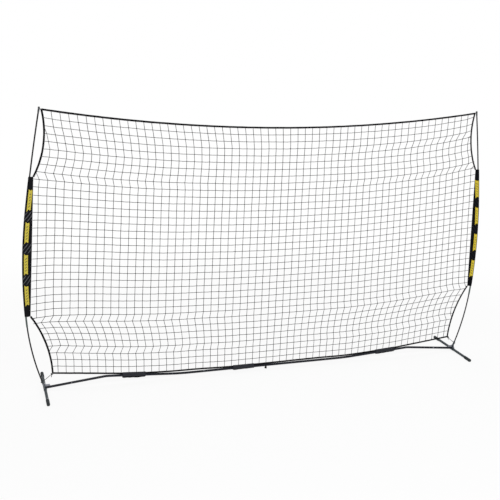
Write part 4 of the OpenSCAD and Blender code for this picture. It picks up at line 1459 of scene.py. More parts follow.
@dataclass
class EdgeTape:
    """One run of folded tape round the net's edge."""

    name: str
    node: str
    line: list[Point2]
    width: float = 0.0145
    thickness: float = 0.0036
    step: float = 0.02
    ripple: float = 0.0006
    bow: float = 0.0010
    tuck: Pair = (0.0, 0.0)
    tuck_share: float = 0.7
    stitch_rows: Pair = (-0.55, 0.62)
    seed: float = 0.0

    def spaced(self) -> list[Point2]:
        """The line at even spacing, its corners kept soft."""
        dense: list[Point2] = []
        for (x0, z0), (x1, z1) in zip(self.line, self.line[1:]):
            count = max(1, round(math.hypot(x1 - x0, z1 - z0) / self.step))
            dense.extend((x0 + (x1 - x0) * i / count, z0 + (z1 - z0) * i / count)
                         for i in range(count))
        return dense + [self.line[-1]]

    def frames(self) -> list[tuple[Point2, Point2, float]]:
        """Point, in-plane normal and distance along for every ring."""
        line = self.spaced()
        found, run = [], 0.0
        for n, (x, z) in enumerate(line):
            x0, z0 = line[max(0, n - 1)]
            x1, z1 = line[min(len(line) - 1, n + 1)]
            size = math.hypot(x1 - x0, z1 - z0)
            run += math.hypot(x - line[n - 1][0], z - line[n - 1][1]) if n else 0.0
            found.append(((x, z), (-(z1 - z0) / size, (x1 - x0) / size), run))
        return found

    def spot(self, at: tuple[Point2, Point2, float], off: float, y: float) -> Vector:
        """A point beside the line, with the tape's own slight ripple."""
        (x, z), (nx, nz), run = at
        ripple = self.ripple * waver(run * 22, self.seed, 0.5)
        bow = self.bow * waver(run * 5, self.seed, 4.5) * (0 if run < self.step else 1)
        off = off * (1 + 0.05 * waver(run * 14, self.seed, 7.5))
        return Vector((x + nx * (off + ripple), y + bow, z + nz * (off + ripple)))

    def tucked(self, run: float, length: float) -> float:
        """How thick the tape still is where its end is tucked into another tape."""
        start, end = self.tuck
        return self.tuck_share if run < start or run > length - end else 1.0

    def section(self, at: tuple[Point2, Point2, float], length: float) -> Ring:
        """One ring: a folded edge on one side, two lips on the other."""
        half, deep = self.width / 2, self.thickness / 2 * self.tucked(at[2], length)
        return measured(self.spot(at, a * half, b * deep) for a, b in TAPE_SECTION)

    def build(self, cloth: Material, sewing: Sewing) -> Piece:
        """Builds the tape with its two rows of stitches on each face."""
        frames = self.frames()
        length = frames[-1][2]
        tape = skin(self.name, [self.section(f, length) for f in frames], [f[2] for f in frames])
        dress(tape, cloth)
        rails = [[self.spot(f, row * self.width / 2, face * self.thickness / 2)
                  for f in frames] for row in self.stitch_rows for face in (-1, 1)]
        threads = sewing.rows(self.name + "_stitches", rails)
        return settle(joined(self.name, [tape, threads]), "webbing", self.node)


@dataclass
class Edges:
    """All bindings of the net."""

    shape: NetShape
    sewing: Sewing
    top_steps: int = 120
    steps: int = 400
    thinned: int = 16
    tuck: float = 0.014
    overlap: float = 0.001

    def mirrored(self, line: list[Point2]) -> list[Point2]:
        """The same line on the left."""
        return [(-x, z) for x, z in line]

    def trimmed(self, line: list[Point2], top: float, bottom: float) -> list[Point2]:
        """The stretch of a falling line between two heights, thinned out."""
        kept = [p for p in line if bottom <= p[1] <= top]
        return kept[:-1:self.thinned] + kept[-1:]

    def build(self) -> list[Piece]:
        """Builds the six tapes."""
        cloth = WovenCloth("edge_webbing", (0.0045, 0.0045, 0.005, 1), (0.016, 0.016, 0.018, 1),
                           Weave.RIB, thread=0.0011).build()
        shape = self.shape
        high = self.trimmed(shape.high.points(self.steps),
                            shape.plan.top_corner[1] - self.overlap, shape.plan.sleeve_high)
        low = self.trimmed(shape.low.points(self.steps), shape.plan.sleeve_low,
                           shape.plan.low_corner[1] + self.overlap)
        at_top, at_bottom = (self.tuck, 0.0), (0.0, self.tuck)
        plans = [
            EdgeTape("top_edge_tape", "top_binding", shape.top.points(self.top_steps), seed=1.0),
            EdgeTape("bottom_edge_tape", "bottom_binding", shape.bottom(), seed=2.0),
            EdgeTape("right_high_tape", "right_high_binding", high, tuck=at_top, seed=3.0),
            EdgeTape("left_high_tape", "left_high_binding", self.mirrored(high), tuck=at_top,
                     seed=4.0),
            EdgeTape("right_low_tape", "right_low_binding", low, tuck=at_bottom, seed=5.0),
            EdgeTape("left_low_tape", "left_low_binding", self.mirrored(low), tuck=at_bottom,
                     seed=6.0)]
        return [tape.build(cloth, self.sewing) for tape in plans]


# ---------------------------------------------------------------- sleeves


@dataclass
class Sleeve:
    """Cloth sleeve round one pole, open at both ends and sewn along its hem."""

    shape: NetShape
    side: int
    cloth_t: float = 0.0012
    around: int = 44
    rings: int = 150
    slow_fold: float = 0.0009
    gather: float = 0.0010
    bunching: float = 0.0012
    bunch_reach: float = 0.035
    end_in: float = 0.0005
    thinnest: float = 0.0009
    seam_lift: float = 0.0002
    hem_seams: Pair = (0.86, 0.93)
    end_seams: Pair = (0.007, 0.022)

    @property
    def name(self) -> str:
        """left or right."""
        return side_word(self.side)

    def pucker(self, z: float, share: float, face: int) -> float:
        """Creases: fine gathers at the hem and the ends, slow folds between them."""
        plan = self.shape.plan
        end = min(z - plan.sleeve_low, plan.sleeve_high - z)
        near_end = math.exp(-max(0.0, end) / self.bunch_reach)
        at_hem = max(0.0, share - 0.6) / 0.4
        seed = self.side * 3.7 + face * 1.9
        slow = self.slow_fold * waver(z * 13 + share * 2.2 * face, share * 2.5, 0.4, seed)
        gathers = self.gather * at_hem * waver(z * 95, 0.2, share, seed + 5)
        bunch = self.bunching * near_end * waver(share * 9, z * 8, 0.1, seed + 9)
        return (slow + gathers + bunch) * math.sin(math.pi * min(1.0, share * 1.05)) ** 0.5

    def spot(self, z: float, share: float, face: int, lift: float = 0.0) -> Vector:
        """A point of the sleeve.

        Args:
            z: Height.
            share: 0 at the outer edge, 1 at the hem.
            face: -1 for the front, 1 for the back.
            lift: Distance off the cloth.

        Returns:
            The point in the shared frame.
        """
        shape = self.shape
        width = shape.sleeve_w(z)
        inward = width * share
        y = shape.sleeve_y(inward, width) + self.pucker(z, share, face) + lift
        x = shape.hem_x(z) + width - inward
        return Vector((self.side * x, face * max(self.thinnest, y) if share > 0 else 0.0, z))

    def ring(self, z: float) -> Ring:
        """One ring round the sleeve, from the outer edge over the front."""
        half = self.around // 2
        shares = ((1 - math.cos(math.pi * min(i, self.around - i) / half)) / 2
                  for i in range(self.around))
        return measured(self.spot(z, share, -1 if i <= half else 1)
                        for i, share in enumerate(shares))

    def build(self, cloth: Material, sewing: Sewing) -> Piece:
        plan = self.shape.plan
        low, high = plan.sleeve_low + self.end_in, plan.sleeve_high - self.end_in
        heights = [low + (high - low) * i / self.rings for i in range(self.rings + 1)]
        tube = skin(f"{self.name}_pole_sleeve", [self.ring(z) for z in heights],
                    [z - low for z in heights], caps=False)
        thicken(tube, self.cloth_t)
        dress(tube, cloth)
        for poly in tube.data.polygons:
            poly.use_smooth = True
        rails = []
        for face in (-1, 1):
            rails += [[self.spot(z, share, face, self.seam_lift) for z in heights]
                      for share in self.hem_seams]
            rails += [[self.spot(end, 0.04 + 0.9 * t / 20, face, self.seam_lift)
                       for t in range(21)]
                      for inset in self.end_seams for end in (low + inset, high - inset)]
        threads = sewing.rows(f"{self.name}_sleeve_seams", rails, pitch=0.0045, reach=0.0016)
        whole = joined(f"{self.name}_pole_sleeve", [tube, threads])
        settle(whole, "sleeve_cloth", f"{self.name}_sleeve")
        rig.sheet(whole, flat=(0.142, high - low), held="stretched",
                 rests_on=[f"{self.name}_middle_pole"])
        return whole


@dataclass
class Patches:
    """Four bright patches sewn to the front of one sleeve."""

    sleeve: Sleeve
    length: float = 0.166
    width: float = 0.029
    pitch: float = 0.244
    first: float = 0.786
    set_in: float = 0.013
    slant: float = 0.009
    low_notch: float = 0.013
    high_notch: float = 0.007
    thickness: float = 0.0007
    sunk: float = 0.0004
    rim: float = 0.0015
    rim_share: float = 0.45
    notch_from: float = 0.75
    notch_half: float = 0.36
    notch_shift: float = 0.06
    count: int = 4
    across: int = 14
    up: int = 60

    def spot(self, middle: float, u: float, v: float, lift: float) -> Vector:
        """A point of a patch, u across from the outer edge and v up; both ends are notched."""
        side = self.sleeve.side
        longer = -side
        depth = self.low_notch if v < 0.5 else self.high_notch
        at_end = max(0.0, abs(2 * v - 1) - self.notch_from) / (1 - self.notch_from)
        off_middle = abs(u - 0.5 - self.notch_shift * side)
        notch = depth * at_end * max(0.0, 1 - off_middle / self.notch_half)
        half = (self.length - self.slant + longer * self.slant * (1 - 2 * u)) / 2
        z = middle + half * (2 * v - 1) - math.copysign(notch, v - 0.5)
        shape = self.sleeve.shape
        share = (self.set_in + self.width * u) / shape.sleeve_w(z)
        return self.sleeve.spot(z, share, -1, self.sunk + lift)

    def cell(self, middle: float, u: float, v: float) -> tuple[Vector, float]:
        """A point of a patch, lower towards its rim, with its distance across."""
        rim = min(min(u, 1 - u) * self.width, min(v, 1 - v) * self.length)
        full = min(1.0, rim / self.rim) ** 0.5
        lift = self.thickness * (self.rim_share + (1 - self.rim_share) * full)
        return self.spot(middle, u, v, lift), u * self.width

    def seam(self, middle: float) -> list[Vector]:
        """The run of the stitches round a patch, just inside its rim."""
        edge = [(i / 20, 0.0) for i in range(20)] + [(1.0, j / 60) for j in range(60)]
        edge += [(1 - i / 20, 1.0) for i in range(20)] + [(0.0, 1 - j / 60) for j in range(61)]
        inset = ((0.035 + 0.93 * u, 0.008 + 0.984 * v) for u, v in edge)
        return [self.spot(middle, u, v, self.thickness + 0.0001) for u, v in inset]

    def build(self, cloth: Material, sewing: Sewing) -> Piece:
        """Builds the four patches with their sewn rims."""
        pieces, rims = [], []
        for k in range(self.count):
            middle = self.first + k * self.pitch
            rings = [[self.cell(middle, i / self.across, j / self.up)
                      for i in range(self.across + 1)] for j in range(self.up + 1)]
            patch = skin(f"patch_{k}", rings,
                         [j / self.up * self.length for j in range(self.up + 1)], closed=False)
            self.face_front(patch)
            thicken(patch, self.thickness)
            dress(patch, cloth)
            pieces.append(patch)
            rims.append(self.seam(middle))
        name = self.sleeve.name
        threads = sewing.rows(f"{name}_patch_rims", rims, pitch=0.0026, thread=0.0004,
                              reach=0.0011)
        whole = joined(f"{name}_bright_patches", pieces + [threads])
        return settle(whole, "patch_cloth", f"{name}_patches")

    def face_front(self, patch: Piece) -> None:
        """Turns a patch's faces to the front, so that its thickness goes inwards."""
        made = bmesh.new()
        made.from_mesh(patch.data)
        if sum(f.normal.y * f.calc_area() for f in made.faces) > 0:
            bmesh.ops.reverse_faces(made, faces=made.faces)
        made.to_mesh(patch.data)
        made.free()


# ---------------------------------------------------------------- wraps, ties and loops


@dataclass
class Wrap:
    """Hook-and-loop fabric closed round the base tube and the bottom binding."""

    name: str
    node: str
    centre: float
    side: int
    hang: float
    shape: NetShape
    fading: float = 0.0
    lap: float = 0.0012
    lap_end: float = 0.62
    cloth_t: float = 0.0016
    play: float = 0.0004
    bind_half: float = 0.0018
    bind_room: float = 0.0015
    steps: int = 48
    after_lap: int = 12
    lap_run: int = 7
    loose: float = 0.085
    # Height under the tube's axis below which the flap is marked for painted shade
    loose_below: float = 0.011
    shade_below: float = -0.007
    edge_share: float = 0.06
    edge_hang: float = 0.6
    thinner: float = 0.9
    seam_lift: float = 0.0003
    seed: float = 0.0

    def outline(self, drop: float) -> list[Point2]:
        """Section across the wrap: (y, height over the tube's axis), from the top over the back."""
        plan = self.shape.plan
        r = plan.tube_d / 2 + self.play + self.cloth_t
        top = plan.lift + plan.bind_w / 2 + self.bind_room + self.cloth_t
        half = self.bind_half + self.play + self.cloth_t
        lean = math.asin(half / r)
        steep, lip, lip_end = math.pi / 2 - lean, self.lap, self.lap_end
        neck = [(half * 1.02, r * math.cos(lean) + (top - r) * t) for t in (0.9, 0.45)]
        crest = [(half * 0.5, top), (half, top - half * 0.6)]
        tail = [(half * (1 - 0.35 * t), -r * math.cos(lean) - drop * t) for t in (0.35, 0.8)]
        back = crest + neck + on_circle(r, steep, -steep, 12) + tail
        over = [(y + lip, z) for y, z in tail[::-1]] + on_circle(r + lip, -steep, lip_end, 9)
        over.append(((r + lip) * math.cos(lip_end), (r + lip) * math.sin(lip_end) + lip * 0.8))
        front = over + on_circle(r, lip_end + 0.12, steep, 4) + neck[::-1] + crest[::-1]
        back.append((0.0, -r * math.cos(lean) - drop))
        return [(0.0, top + self.play)] + back + [(-y, z) for y, z in front]

    def place(self, s: float) -> tuple[Vector, Vector]:
        """Centre and up of the tube at a distance along the wrap."""
        if self.side == 0:
            return Vector((self.centre + s, 0, self.shape.plan.base_z)), Vector((0, 0, 1))
        (x, z), h = self.shape.plan.base.at(self.centre + s)
        a = math.radians(h)
        return (Vector((self.side * x, 0, z)),
                Vector((-self.side * math.sin(a), 0, math.cos(a))))

    def build(self, cloth: Material, sewing: Sewing) -> Piece:
        count, length = self.steps, self.shape.plan.wrap_len
        rings, runs, folds = [], [], []
        for n in range(count + 1):
            s = length * (n / count - 0.5)
            centre, up = self.place(s)
            edge = min(1.0, (0.5 - abs(n / count - 0.5)) / self.edge_share)
            drop = self.hang * (0.9 + 0.3 * waver(s * 24, self.seed, 0.3))
            drop *= self.edge_hang + (1 - self.edge_hang) * edge
            drop *= 1 - self.fading * n / count
            points = []
            for k, (y, z) in enumerate(self.outline(drop)):
                free = self.loose * (1 if z < self.loose_below else 0.3)
                loose = 1 + free * waver(s * 34, k * 0.45, self.seed)
                points.append(centre + up * (z * (loose if z < 0 else 1.0))
                              + Vector((0, y * loose, 0)))
                # Marks the points of the flap below the tube, which the cloth darkens as painted shade
                folds.append(1.0 if z < self.shade_below else 0.0)
            rings.append(measured(points))
            runs.append(s + length / 2)
        band = skin(self.name, rings, runs, caps=False)
        band.data.attributes.new("fold", "FLOAT", "POINT").data.foreach_set("value", folds)
        thicken(band, self.cloth_t * self.thinner)
        dress(band, cloth)
        out = Vector((0, -self.seam_lift, 0))
        lap_edge = len(rings[0]) - self.after_lap
        rails = [[ring[lap_edge - k][0] + out for ring in rings[1:-1]] for k in (0, 1)]
        rails += [[point + out for point, _ in rings[n][lap_edge - self.lap_run:-2]]
                  for n in (1, count - 1)]
        threads = sewing.rows(self.name + "_seams", rails, pitch=0.004, reach=0.0014)
        whole = joined(self.name, [band, threads])
        settle(whole, "wrap_cloth", self.node)
        girth = rings[count // 2][-1][1]
        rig.sheet(whole, flat=(girth, length), held="folded", rests_on=[self.tube_node])
        return whole

    @property
    def tube_node(self) -> str:
        """The tube that the wrap is closed round."""
        return {0: "centre_tube", 1: "right_side_tube", -1: "left_side_tube"}[self.side]


def smooth_line(points: Sequence[Vector], per_span: int) -> list[Vector]:
    """A smooth line through the given points.

    Args:
        points: The points to pass through.
        per_span: How many steps between two of them.

    Returns:
        The dense line, its ends on the first and last point.
    """
    padded = [2 * points[0] - points[1], *points, 2 * points[-1] - points[-2]]
    line: list[Vector] = []
    for a, b, c, d in zip(padded, padded[1:], padded[2:], padded[3:]):
        for n in range(per_span):
            t = n / per_span
            line.append(0.5 * ((2 * b) + (c - a) * t + (2 * a - 5 * b + 4 * c - d) * t * t
                               + (3 * b - a - 3 * c + d) * t ** 3))
    return line + [points[-1]]


def round_cord(name: str, line: Sequence[Vector], radius: float, sides: int) -> Piece:
    """A round cord along a line, narrower at its ends, with a map in metres."""
    rings, runs = [], []
    run, end_share = 0.0, 0.55
    side = Vector((0, 1, 0))
    for n, point in enumerate(line):
        tangent = (line[min(len(line) - 1, n + 1)] - line[max(0, n - 1)]).normalized()
        side = (side - tangent * side.dot(tangent)).normalized()
        other = tangent.cross(side)
        run += (point - line[n - 1]).length if n else 0.0
        here = radius * (end_share if n in (0, len(line) - 1) else 1.0)
        rings.append([(point + (side * math.cos(2 * math.pi * k / sides)
                                + other * math.sin(2 * math.pi * k / sides)) * here,
                       2 * math.pi * radius * k / sides) for k in range(sides)])
        runs.append(run)
    return skin(name, rings, runs)


def knot_mesh(name: str, centre: Vector, size: float, strand: float) -> Piece:
    """An overhand knot: a trefoil of cord pulled tight."""
    wide, deep, steps = 0.34, 0.55, 72
    line = []
    for n in range(steps + 1):
        t = 2 * math.pi * n / steps
        line.append(centre + size * Vector((
            wide * (math.sin(t) + 2 * math.sin(2 * t)),
            deep * -math.sin(3 * t),
            wide * (math.cos(t) - 2 * math.cos(2 * t)))))
    return round_cord(name, line, strand, 8)


@dataclass
class LowTie:
    """Elastic cord from the net's bottom corner round the pole's socket."""

    shape: NetShape
    side: int
    cord_d: float = 0.0045
    ring_s: float = 0.0585
    socket_d: float = 0.016
    play: float = 0.0003
    lay: float = 0.003
    turn_from: float = 20.0
    turn: float = 300.0
    steps: int = 16
    corner_out: float = 0.0068
    knot_size: float = 0.0085
    knot_strand: float = 0.0023
    tail: tuple[Point3, ...] = (
        (0.001, -0.004, -0.004), (0.003, -0.007, -0.010), (0.004, -0.0075, -0.017),
        (0.0065, -0.0070, -0.024))

    def line(self) -> list[Vector]:
        """Centre line: from the corner, once round the socket, and tucked in behind."""
        plan = self.shape.plan
        (cx, cz), h = plan.pole.at(self.ring_s)
        a = math.radians(h)
        axis = Vector((math.cos(a), 0, math.sin(a)))
        towards = Vector((-math.sin(a), 0, math.cos(a)))
        r = self.socket_d / 2 + self.cord_d / 2 + self.play
        centre = Vector((cx, 0, cz))
        corner = in_net(plan.low_corner) + Vector((self.corner_out, 0.0, -self.corner_out))
        turns = []
        for n in range(self.steps + 1):
            t = math.radians(self.turn_from + self.turn * n / self.steps)
            turns.append(centre + axis * (self.lay - 2 * self.lay * n / self.steps)
                         + towards * (r * math.cos(t)) + Vector((0, r * math.sin(t), 0)))
        middle = corner.lerp(turns[0], 0.55) + Vector((0, 0.0015, -0.001))
        return on_side(smooth_line([corner, middle, *turns], 3), self.side)

    def build(self, material: Material, dark: Material) -> None:
        word = side_word(self.side)
        line = self.line()
        length = sum((b - a).length for a, b in zip(line, line[1:]))
        cord = dress(round_cord(f"{word}_corner_cord", line, self.cord_d / 2, 14), material)
        knot = knot_mesh(f"{word}_corner_knot", line[0], self.knot_size, self.knot_strand)
        fall = [line[0] + p for p in on_side(map(Vector, self.tail), self.side)]
        tail = round_cord(f"{word}_corner_tail", smooth_line(fall, 4), self.cord_d / 2, 10)
        knot = dress(joined(f"{word}_corner_knot", [knot, tail]), dark)
        settle(cord, "cord", f"{word}_low_tie")
        settle(knot, "cord")
        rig.cord(cord, exit=tuple(line[0]), length=length, diameter=self.cord_d, far_end="object",
                stiffness="limp", lay="taut", path=[tuple(p) for p in line], with_pieces=[knot])


@dataclass
class TopLoop:
    """Short cord loop from the net's top corner into the groove of the tip cap."""

    shape: NetShape
    side: int
    cord_d: float = 0.0034
    groove_s: float = 2.202
    groove_r: float = 0.006
    play: float = 0.0003
    turn_from: float = 75.0
    turn: float = 210.0
    steps: int = 10
    corner_out: float = 0.0045
    spread: float = 0.0018
    knot_size: float = 0.004
    knot_strand: float = 0.0015

    def build(self, material: Material) -> Piece:
        """Builds the loop as one closed run of cord with a small knot."""
        plan = self.shape.plan
        (cx, cz), h = plan.pole.at(self.groove_s)
        a = math.radians(h)
        towards = Vector((-math.sin(a), 0, math.cos(a)))
        centre = Vector((cx, 0, cz))
        r = self.groove_r + self.cord_d / 2 + self.play
        corner = in_net(plan.top_corner) + Vector((self.corner_out, 0, 0))
        apart = Vector((0, self.spread, 0))
        angles = (math.radians(self.turn_from + self.turn * n / self.steps)
                  for n in range(self.steps + 1))
        turns = [centre + towards * (r * math.cos(t)) + Vector((0, r * math.sin(t), 0))
                 for t in angles]
        line = on_side(smooth_line([corner + apart, *turns, corner - apart], 4), self.side)
        word = side_word(self.side)
        loop = dress(round_cord(f"{word}_tip_loop", line, self.cord_d / 2, 10), material)
        knot = knot_mesh(f"{word}_tip_knot", line[0], self.knot_size, self.knot_strand)
        dress(knot, material)
        return settle(joined(f"{word}_tip_loop", [loop, knot]), "cord", f"{word}_top_loop")


# ---------------------------------------------------------------- stand


@dataclass
class Stand:
    """Finishes of the rigid nodes and the weld beads at the two hubs."""

    plan: Plan
    tee_r: float = 0.01275
    socket_r: float = 0.008
    stub_up: float = 0.005
    stub_from: float = 70.0
    stub_turn: float = 220.0
    stub_clear: float = -0.006
    seam_steps: int = 32

    def finishes(self) -> dict[str, Material]:
        """The material of each kind of node."""
        return {
            "tube": PaintedSteel("tube_paint", (0.0040, 0.0045, 0.0085, 1),
                                 (0.022, 0.025, 0.040, 1), 0.26, shine=0.2).build(),
            "leg": PaintedSteel("leg_paint", (0.0030, 0.0032, 0.0045, 1),
                                (0.014, 0.015, 0.019, 1), 0.34, shine=0.12).build(),
            "foot": PaintedSteel("foot_paint", (0.016, 0.026, 0.033, 1),
                                 (0.060, 0.076, 0.080, 1), 0.32).build(),
            "rubber": MouldedRubber().build(),
            "leg_rubber": MouldedRubber("leg_rubber", (0.0045, 0.0045, 0.004, 1),
                                        (0.030, 0.030, 0.026, 1), 0.15).build(),
            "zinc": ZincPlate().build(),
            "glass": Fibreglass().build(),
            "ferrule": DullMetal("ferrule_metal", (0.080, 0.105, 0.098, 1),
                                 (0.150, 0.185, 0.172, 1)).build(),
            "cap": DullMetal("cap_plastic", (0.045, 0.050, 0.054, 1),
                             (0.110, 0.118, 0.125, 1), 0.1).build()}

    def paint_nodes(self, made: dict[str, Material]) -> None:
        """Gives each carried-over node its finish.

        Args:
            made: The material of each kind of node.
        """
        kinds = (("_tube", "tube"), ("centre_leg", "leg"), ("foot_bar", "foot"), ("_tee", "foot"),
                 ("_socket", "foot"), ("boots", "rubber"), ("leg_tip", "leg_rubber"),
                 ("gussets", "zinc"), ("button", "zinc"), ("spring", "zinc"), ("rivets", "zinc"),
                 ("_pole", "glass"), ("ferrule", "ferrule"), ("tip_cap", "cap"))
        for name, node in frame["nodes"].items():
            found = [kind for word, kind in kinds if word in name]
            material = made[found[0]] if found else made["tube"]
            if not node.material_slots:
                node.data.materials.append(material)
            for slot in node.material_slots:
                slot.link = "OBJECT"
                slot.material = material
            log.info("%s: %s finish", name, material.name)

    def socket_seam(self, side: int) -> list[Vector]:
        """Line where a socket meets its tee."""
        big, small = self.tee_r, self.socket_r
        lean = math.radians(self.plan.pole_lean)
        line = []
        for n in range(self.seam_steps + 1):
            t = 2 * math.pi * n / self.seam_steps
            reach = math.sqrt(big ** 2 - (small * math.cos(t)) ** 2)
            x = reach * math.sin(lean) + small * math.cos(t) * math.cos(lean)
            z = reach * math.cos(lean) - small * math.cos(t) * math.sin(lean)
            line.append(Vector((side * (self.plan.foot_x + x), small * math.sin(t),
                                self.plan.foot_z + z)))
        return line

    def stub_seam(self, side: int) -> list[Vector]:
        """Line where a stub tube meets its tee."""
        big, small, rise = self.tee_r, self.plan.tube_d / 2, self.stub_up
        fall = math.radians(-self.plan.rise - self.plan.elbow_turn)
        line = []
        for n in range(self.seam_steps + 1):
            t = math.radians(self.stub_from + self.stub_turn * n / self.seam_steps)
            up = small * math.cos(t)
            b = up * math.sin(fall) * math.cos(fall) - (rise + up * math.cos(fall)) * math.sin(fall)
            c = (up * math.sin(fall)) ** 2 + (rise + up * math.cos(fall)) ** 2 - big ** 2
            inside = b * b - c
            s = -b - math.sqrt(inside) if inside > 0 else self.stub_clear
            x = s * math.cos(fall) + up * math.sin(fall)
            z = rise - s * math.sin(fall) + up * math.cos(fall)
            line.append(Vector((side * (self.plan.foot_x + x), small * math.sin(t),
                                self.plan.foot_z + z)))
        return line

    def weld(self) -> list[Piece]:
        """Lays painted weld beads round the hubs."""
        tree = stitch_tree()
        paint = PaintedSteel("weld_paint", (0.020, 0.030, 0.036, 1), (0.080, 0.095, 0.100, 1),
                             0.4).build()
        beads = []
        for side in (-1, 1):
            word = side_word(side)
            seed = wire(f"{word}_weld_lines", [self.socket_seam(side), self.stub_seam(side)])
            bead = tree.grow(f"{word}_weld_beads", seed, Pitch=0.0012, Thread=0.0015,
                             Reach=0.0011, Finish=paint)
            beads.append(settle(bead, "foot_paint"))
        return beads


@dataclass
class SnapSpring:
    """Strip spring folded in a V behind a snap button, which closes it when pressed."""

    place: str
    press: Point3
    travel: float = 0.0045
    play: float = 0.0002
    rounding: float = 0.00008
    weld_within: float = 1e-6
    flat_within: float = 1.0

    def build(self, zinc: Material) -> Piece:
        """Takes over the strip's form, rounds its edges and lets the button's travel close it.

        Args:
            zinc: Finish of the strip.

        Returns:
            The finished spring.
        """
        node = frame["nodes"][f"{self.place}_spring"]
        made = bmesh.new()
        made.from_mesh(node.data)
        bmesh.ops.remove_doubles(made, verts=made.verts, dist=self.weld_within)
        bmesh.ops.dissolve_limit(made, angle_limit=math.radians(self.flat_within),
                                 verts=made.verts, edges=made.edges)
        mesh = bpy.data.meshes.new(f"{self.place}_strip_spring")
        made.to_mesh(mesh)
        made.free()
        strip = add_object(mesh.name, mesh)
        dress(soften(strip, self.rounding), zinc)
        settle(strip, "zinc", node.name)
        inwards = Vector(self.press).normalized()
        reach = [vertex.co.dot(inwards) for vertex in strip.data.vertices]
        depth = max(reach) - min(reach)
        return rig.squash(strip, f"{self.place}_press", axis=self.press,
                         anchor=tuple(inwards * max(reach)),
                         keep=1 - (self.travel + self.play) / depth)


# ---------------------------------------------------------------- studio


@dataclass
class Studio:
    """White floor, soft lamps and a plain world."""

    floor_size: float = 40.0
    ambient: float = 0.55
    aim: Point3 = (0.0, 0.0, 0.9)
    lamps: tuple[tuple[str, Point3, float, float], ...] = (
        ("key", (-2.5, -5.5, 6.0), 5.0, 260.0), ("fill", (5.0, -4.0, 4.5), 4.0, 110.0),
        ("rim", (0.5, 5.0, 5.5), 5.0, 150.0))

    def build(self) -> None:
        """Builds the floor, the world and the lamps."""
        self.floor()
        self.world()
        for lamp in self.lamps:
            self.lamp(*lamp)
        bpy.context.scene.view_settings.view_transform = "Standard"

    def floor(self) -> None:
        """Adds the floor as a gently subdivided sheet."""
        made = bmesh.new()
        bmesh.ops.create_grid(made, x_segments=4, y_segments=4, size=self.floor_size / 2)
        mesh = bpy.data.meshes.new("studio_floor")
        made.to_mesh(mesh)
        made.free()
        floor = add_object("studio_floor", mesh)
        dress(floor, StudioFloor().build())
        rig.stage(floor)

    def world(self) -> None:
        """White to the camera, even soft light to everything else."""
        shop = Shop("soft_box", world=True)
        seen = shop.node("ShaderNodeLightPath", out="Is Camera Ray")
        through = shop.node("ShaderNodeLightPath", out="Is Transmission Ray")
        light, white = (
            shop.node("ShaderNodeBackground", {}, {"Color": grey(1.0), "Strength": level})
            for level in (self.ambient, 1.0))
        bpy.context.scene.world = shop.end(
            shop.node("ShaderNodeMixShader", {}, {0: seen.larger(through), 1: light, 2: white}))

    def lamp(self, name: str, place: Point3, size: float,
             power: float) -> None:
        """Adds one square soft lamp that looks at the net's middle."""
        light = bpy.data.lights.new(name, "AREA")
        light.size = size
        light.energy = power
        lamp = bpy.data.objects.new(name, light)
        lamp.location = place
        aim = Vector(self.aim) - Vector(place)
        lamp.rotation_euler = aim.to_track_quat("-Z", "Y").to_euler()
        bpy.context.scene.collection.objects.link(lamp)


@dataclass
class NetCamera:
    """Camera in front of the net, to the left and above, for a square frame."""

    place: Point3 = (-2.263, -5.959, 2.735)
    yaw: float = 19.22
    pitch: float = 14.89
    roll: float = 2.34
    lens: float = 57.57
    sensor: float = 36.0

    def build(self) -> None:
        """Creates the camera and makes it the scene's."""
        yaw, pitch, roll = (math.radians(a) for a in (self.yaw, self.pitch, self.roll))
        ahead = Vector((math.sin(yaw) * math.cos(pitch), math.cos(yaw) * math.cos(pitch),
                        -math.sin(pitch)))
        right = Vector((math.cos(yaw), -math.sin(yaw), 0.0))
        up = right.cross(ahead)
        rolled = right * math.cos(roll) + up * math.sin(roll)
        upright = up * math.cos(roll) - right * math.sin(roll)
        data = bpy.data.cameras.new("net_camera")
        data.lens = self.lens
        data.sensor_width = self.sensor
        data.clip_end = 100.0
        camera = bpy.data.objects.new("net_camera", data)
        camera.matrix_world = Matrix((
            (rolled.x, upright.x, -ahead.x, self.place[0]),
            (rolled.y, upright.y, -ahead.y, self.place[1]),
            (rolled.z, upright.z, -ahead.z, self.place[2]),
            (0, 0, 0, 1)))
        bpy.context.scene.collection.objects.link(camera)
        bpy.context.scene.camera = camera


# ---------------------------------------------------------------- everything


def box_lists(box: object) -> object:
    if isinstance(box, (int, float)):
        return float(box)
    if isinstance(box, dict):
        return {key: box_lists(value) for key, value in box.items()}
    return [box_lists(value) for value in box]


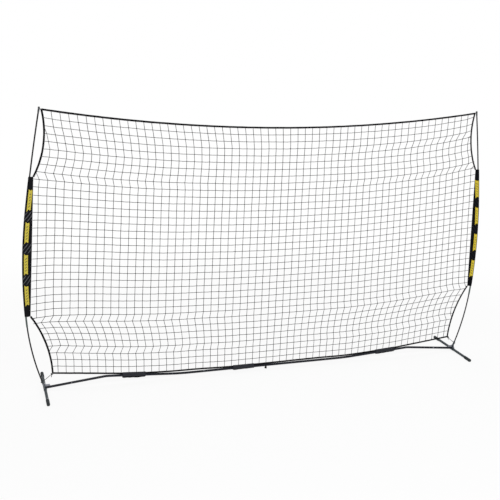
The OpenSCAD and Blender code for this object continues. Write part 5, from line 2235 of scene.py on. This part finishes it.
def main() -> None:
    """Builds every piece in order and writes the sizes."""
    logging.basicConfig(level=logging.INFO, format="%(name)s %(message)s")
    cad_box = box_lists(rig.bounds())
    NetCamera().build()
    plan = Plan()
    shape = NetShape(plan)
    thread = WovenCloth("black_thread", (0.015, 0.015, 0.016, 1), (0.06, 0.06, 0.065, 1)).build()
    stitches = stitch_tree()
    sewing = Sewing(stitches, thread)
    elastic = BraidedElastic().build()
    dark_cord = BraidedElastic("dark_cord", (0.030, 0.030, 0.029, 1),
                               (0.010, 0.010, 0.010, 1)).build()
    for side in (-1, 1):
        LowTie(shape, side).build(elastic, dark_cord)
        TopLoop(shape, side).build(dark_cord)
    Netting(shape).build()
    Edges(shape, sewing).build()
    first_bare = Patches.first + Patches.pitch / 2 - plan.sleeve_low
    cloths = {
        -1: WovenCloth("sleeve_cloth_left", (0.0042, 0.0044, 0.0052, 1), (0.015, 0.0155, 0.018, 1),
                       Weave.TWILL, thread=0.0009, stripes=0.72, bare_at=first_bare,
                       bare_pitch=Patches.pitch),
        1: WovenCloth("sleeve_cloth_right", (0.0024, 0.0026, 0.0036, 1), (0.008, 0.0085, 0.0105, 1),
                      Weave.TWILL, thread=0.0009, stripes=0.08, bare_at=first_bare,
                      bare_pitch=Patches.pitch)}
    yellows = {
        -1: PatchCloth("patch_cloth_left", (0.60, 0.50, 0.045, 1), (0.43, 0.34, 0.030, 1)),
        1: PatchCloth("patch_cloth_right", (0.64, 0.50, 0.014, 1), (0.50, 0.37, 0.010, 1))}
    for side in (-1, 1):
        sleeve = Sleeve(shape, side)
        sleeve.build(cloths[side].build(), sewing)
        yellow = yellows[side].build()
        Patches(sleeve).build(yellow, Sewing(stitches, yellow))
    # Wrap cloth; its lower flap under the tube gets a near-black painted shade
    pile = WovenCloth("wrap_cloth", (0.017, 0.018, 0.022, 1), (0.058, 0.060, 0.070, 1),
                      Weave.PLAIN, thread=0.0012, sheen=0.04, relief=0.0006,
                      fold=(0.002, 0.002, 0.0025, 1)).build()
    run = plan.side_wrap_run
    for wrap in (
            Wrap("left_tube_wrap", "left_wrap", run, -1, 0.0115, shape, seed=1.0),
            Wrap("right_tube_wrap", "right_wrap", run, 1, 0.0075, shape, seed=2.0),
            Wrap("middle_tube_wrap", "middle_wrap", -plan.mid_wrap_x, 0, 0.0075, shape,
                 fading=0.7, seed=3.0)):
        wrap.build(pile, sewing)
    stand = Stand(plan)
    finishes = stand.finishes()
    stand.paint_nodes(finishes)
    stand.weld()
    for word in map(side_word, (-1, 1)):
        SnapSpring(f"{word}_foot", (0, 1, 0)).build(finishes["zinc"])
        SnapSpring(f"{word}_centre", (0, 1, -1)).build(finishes["zinc"])
    Studio().build()
    with open("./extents.json", "w", encoding="utf-8") as out:
        json.dump({"cad": cad_box, "visual": box_lists(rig.bounds())}, out)


if __name__ == "__main__":
    main()
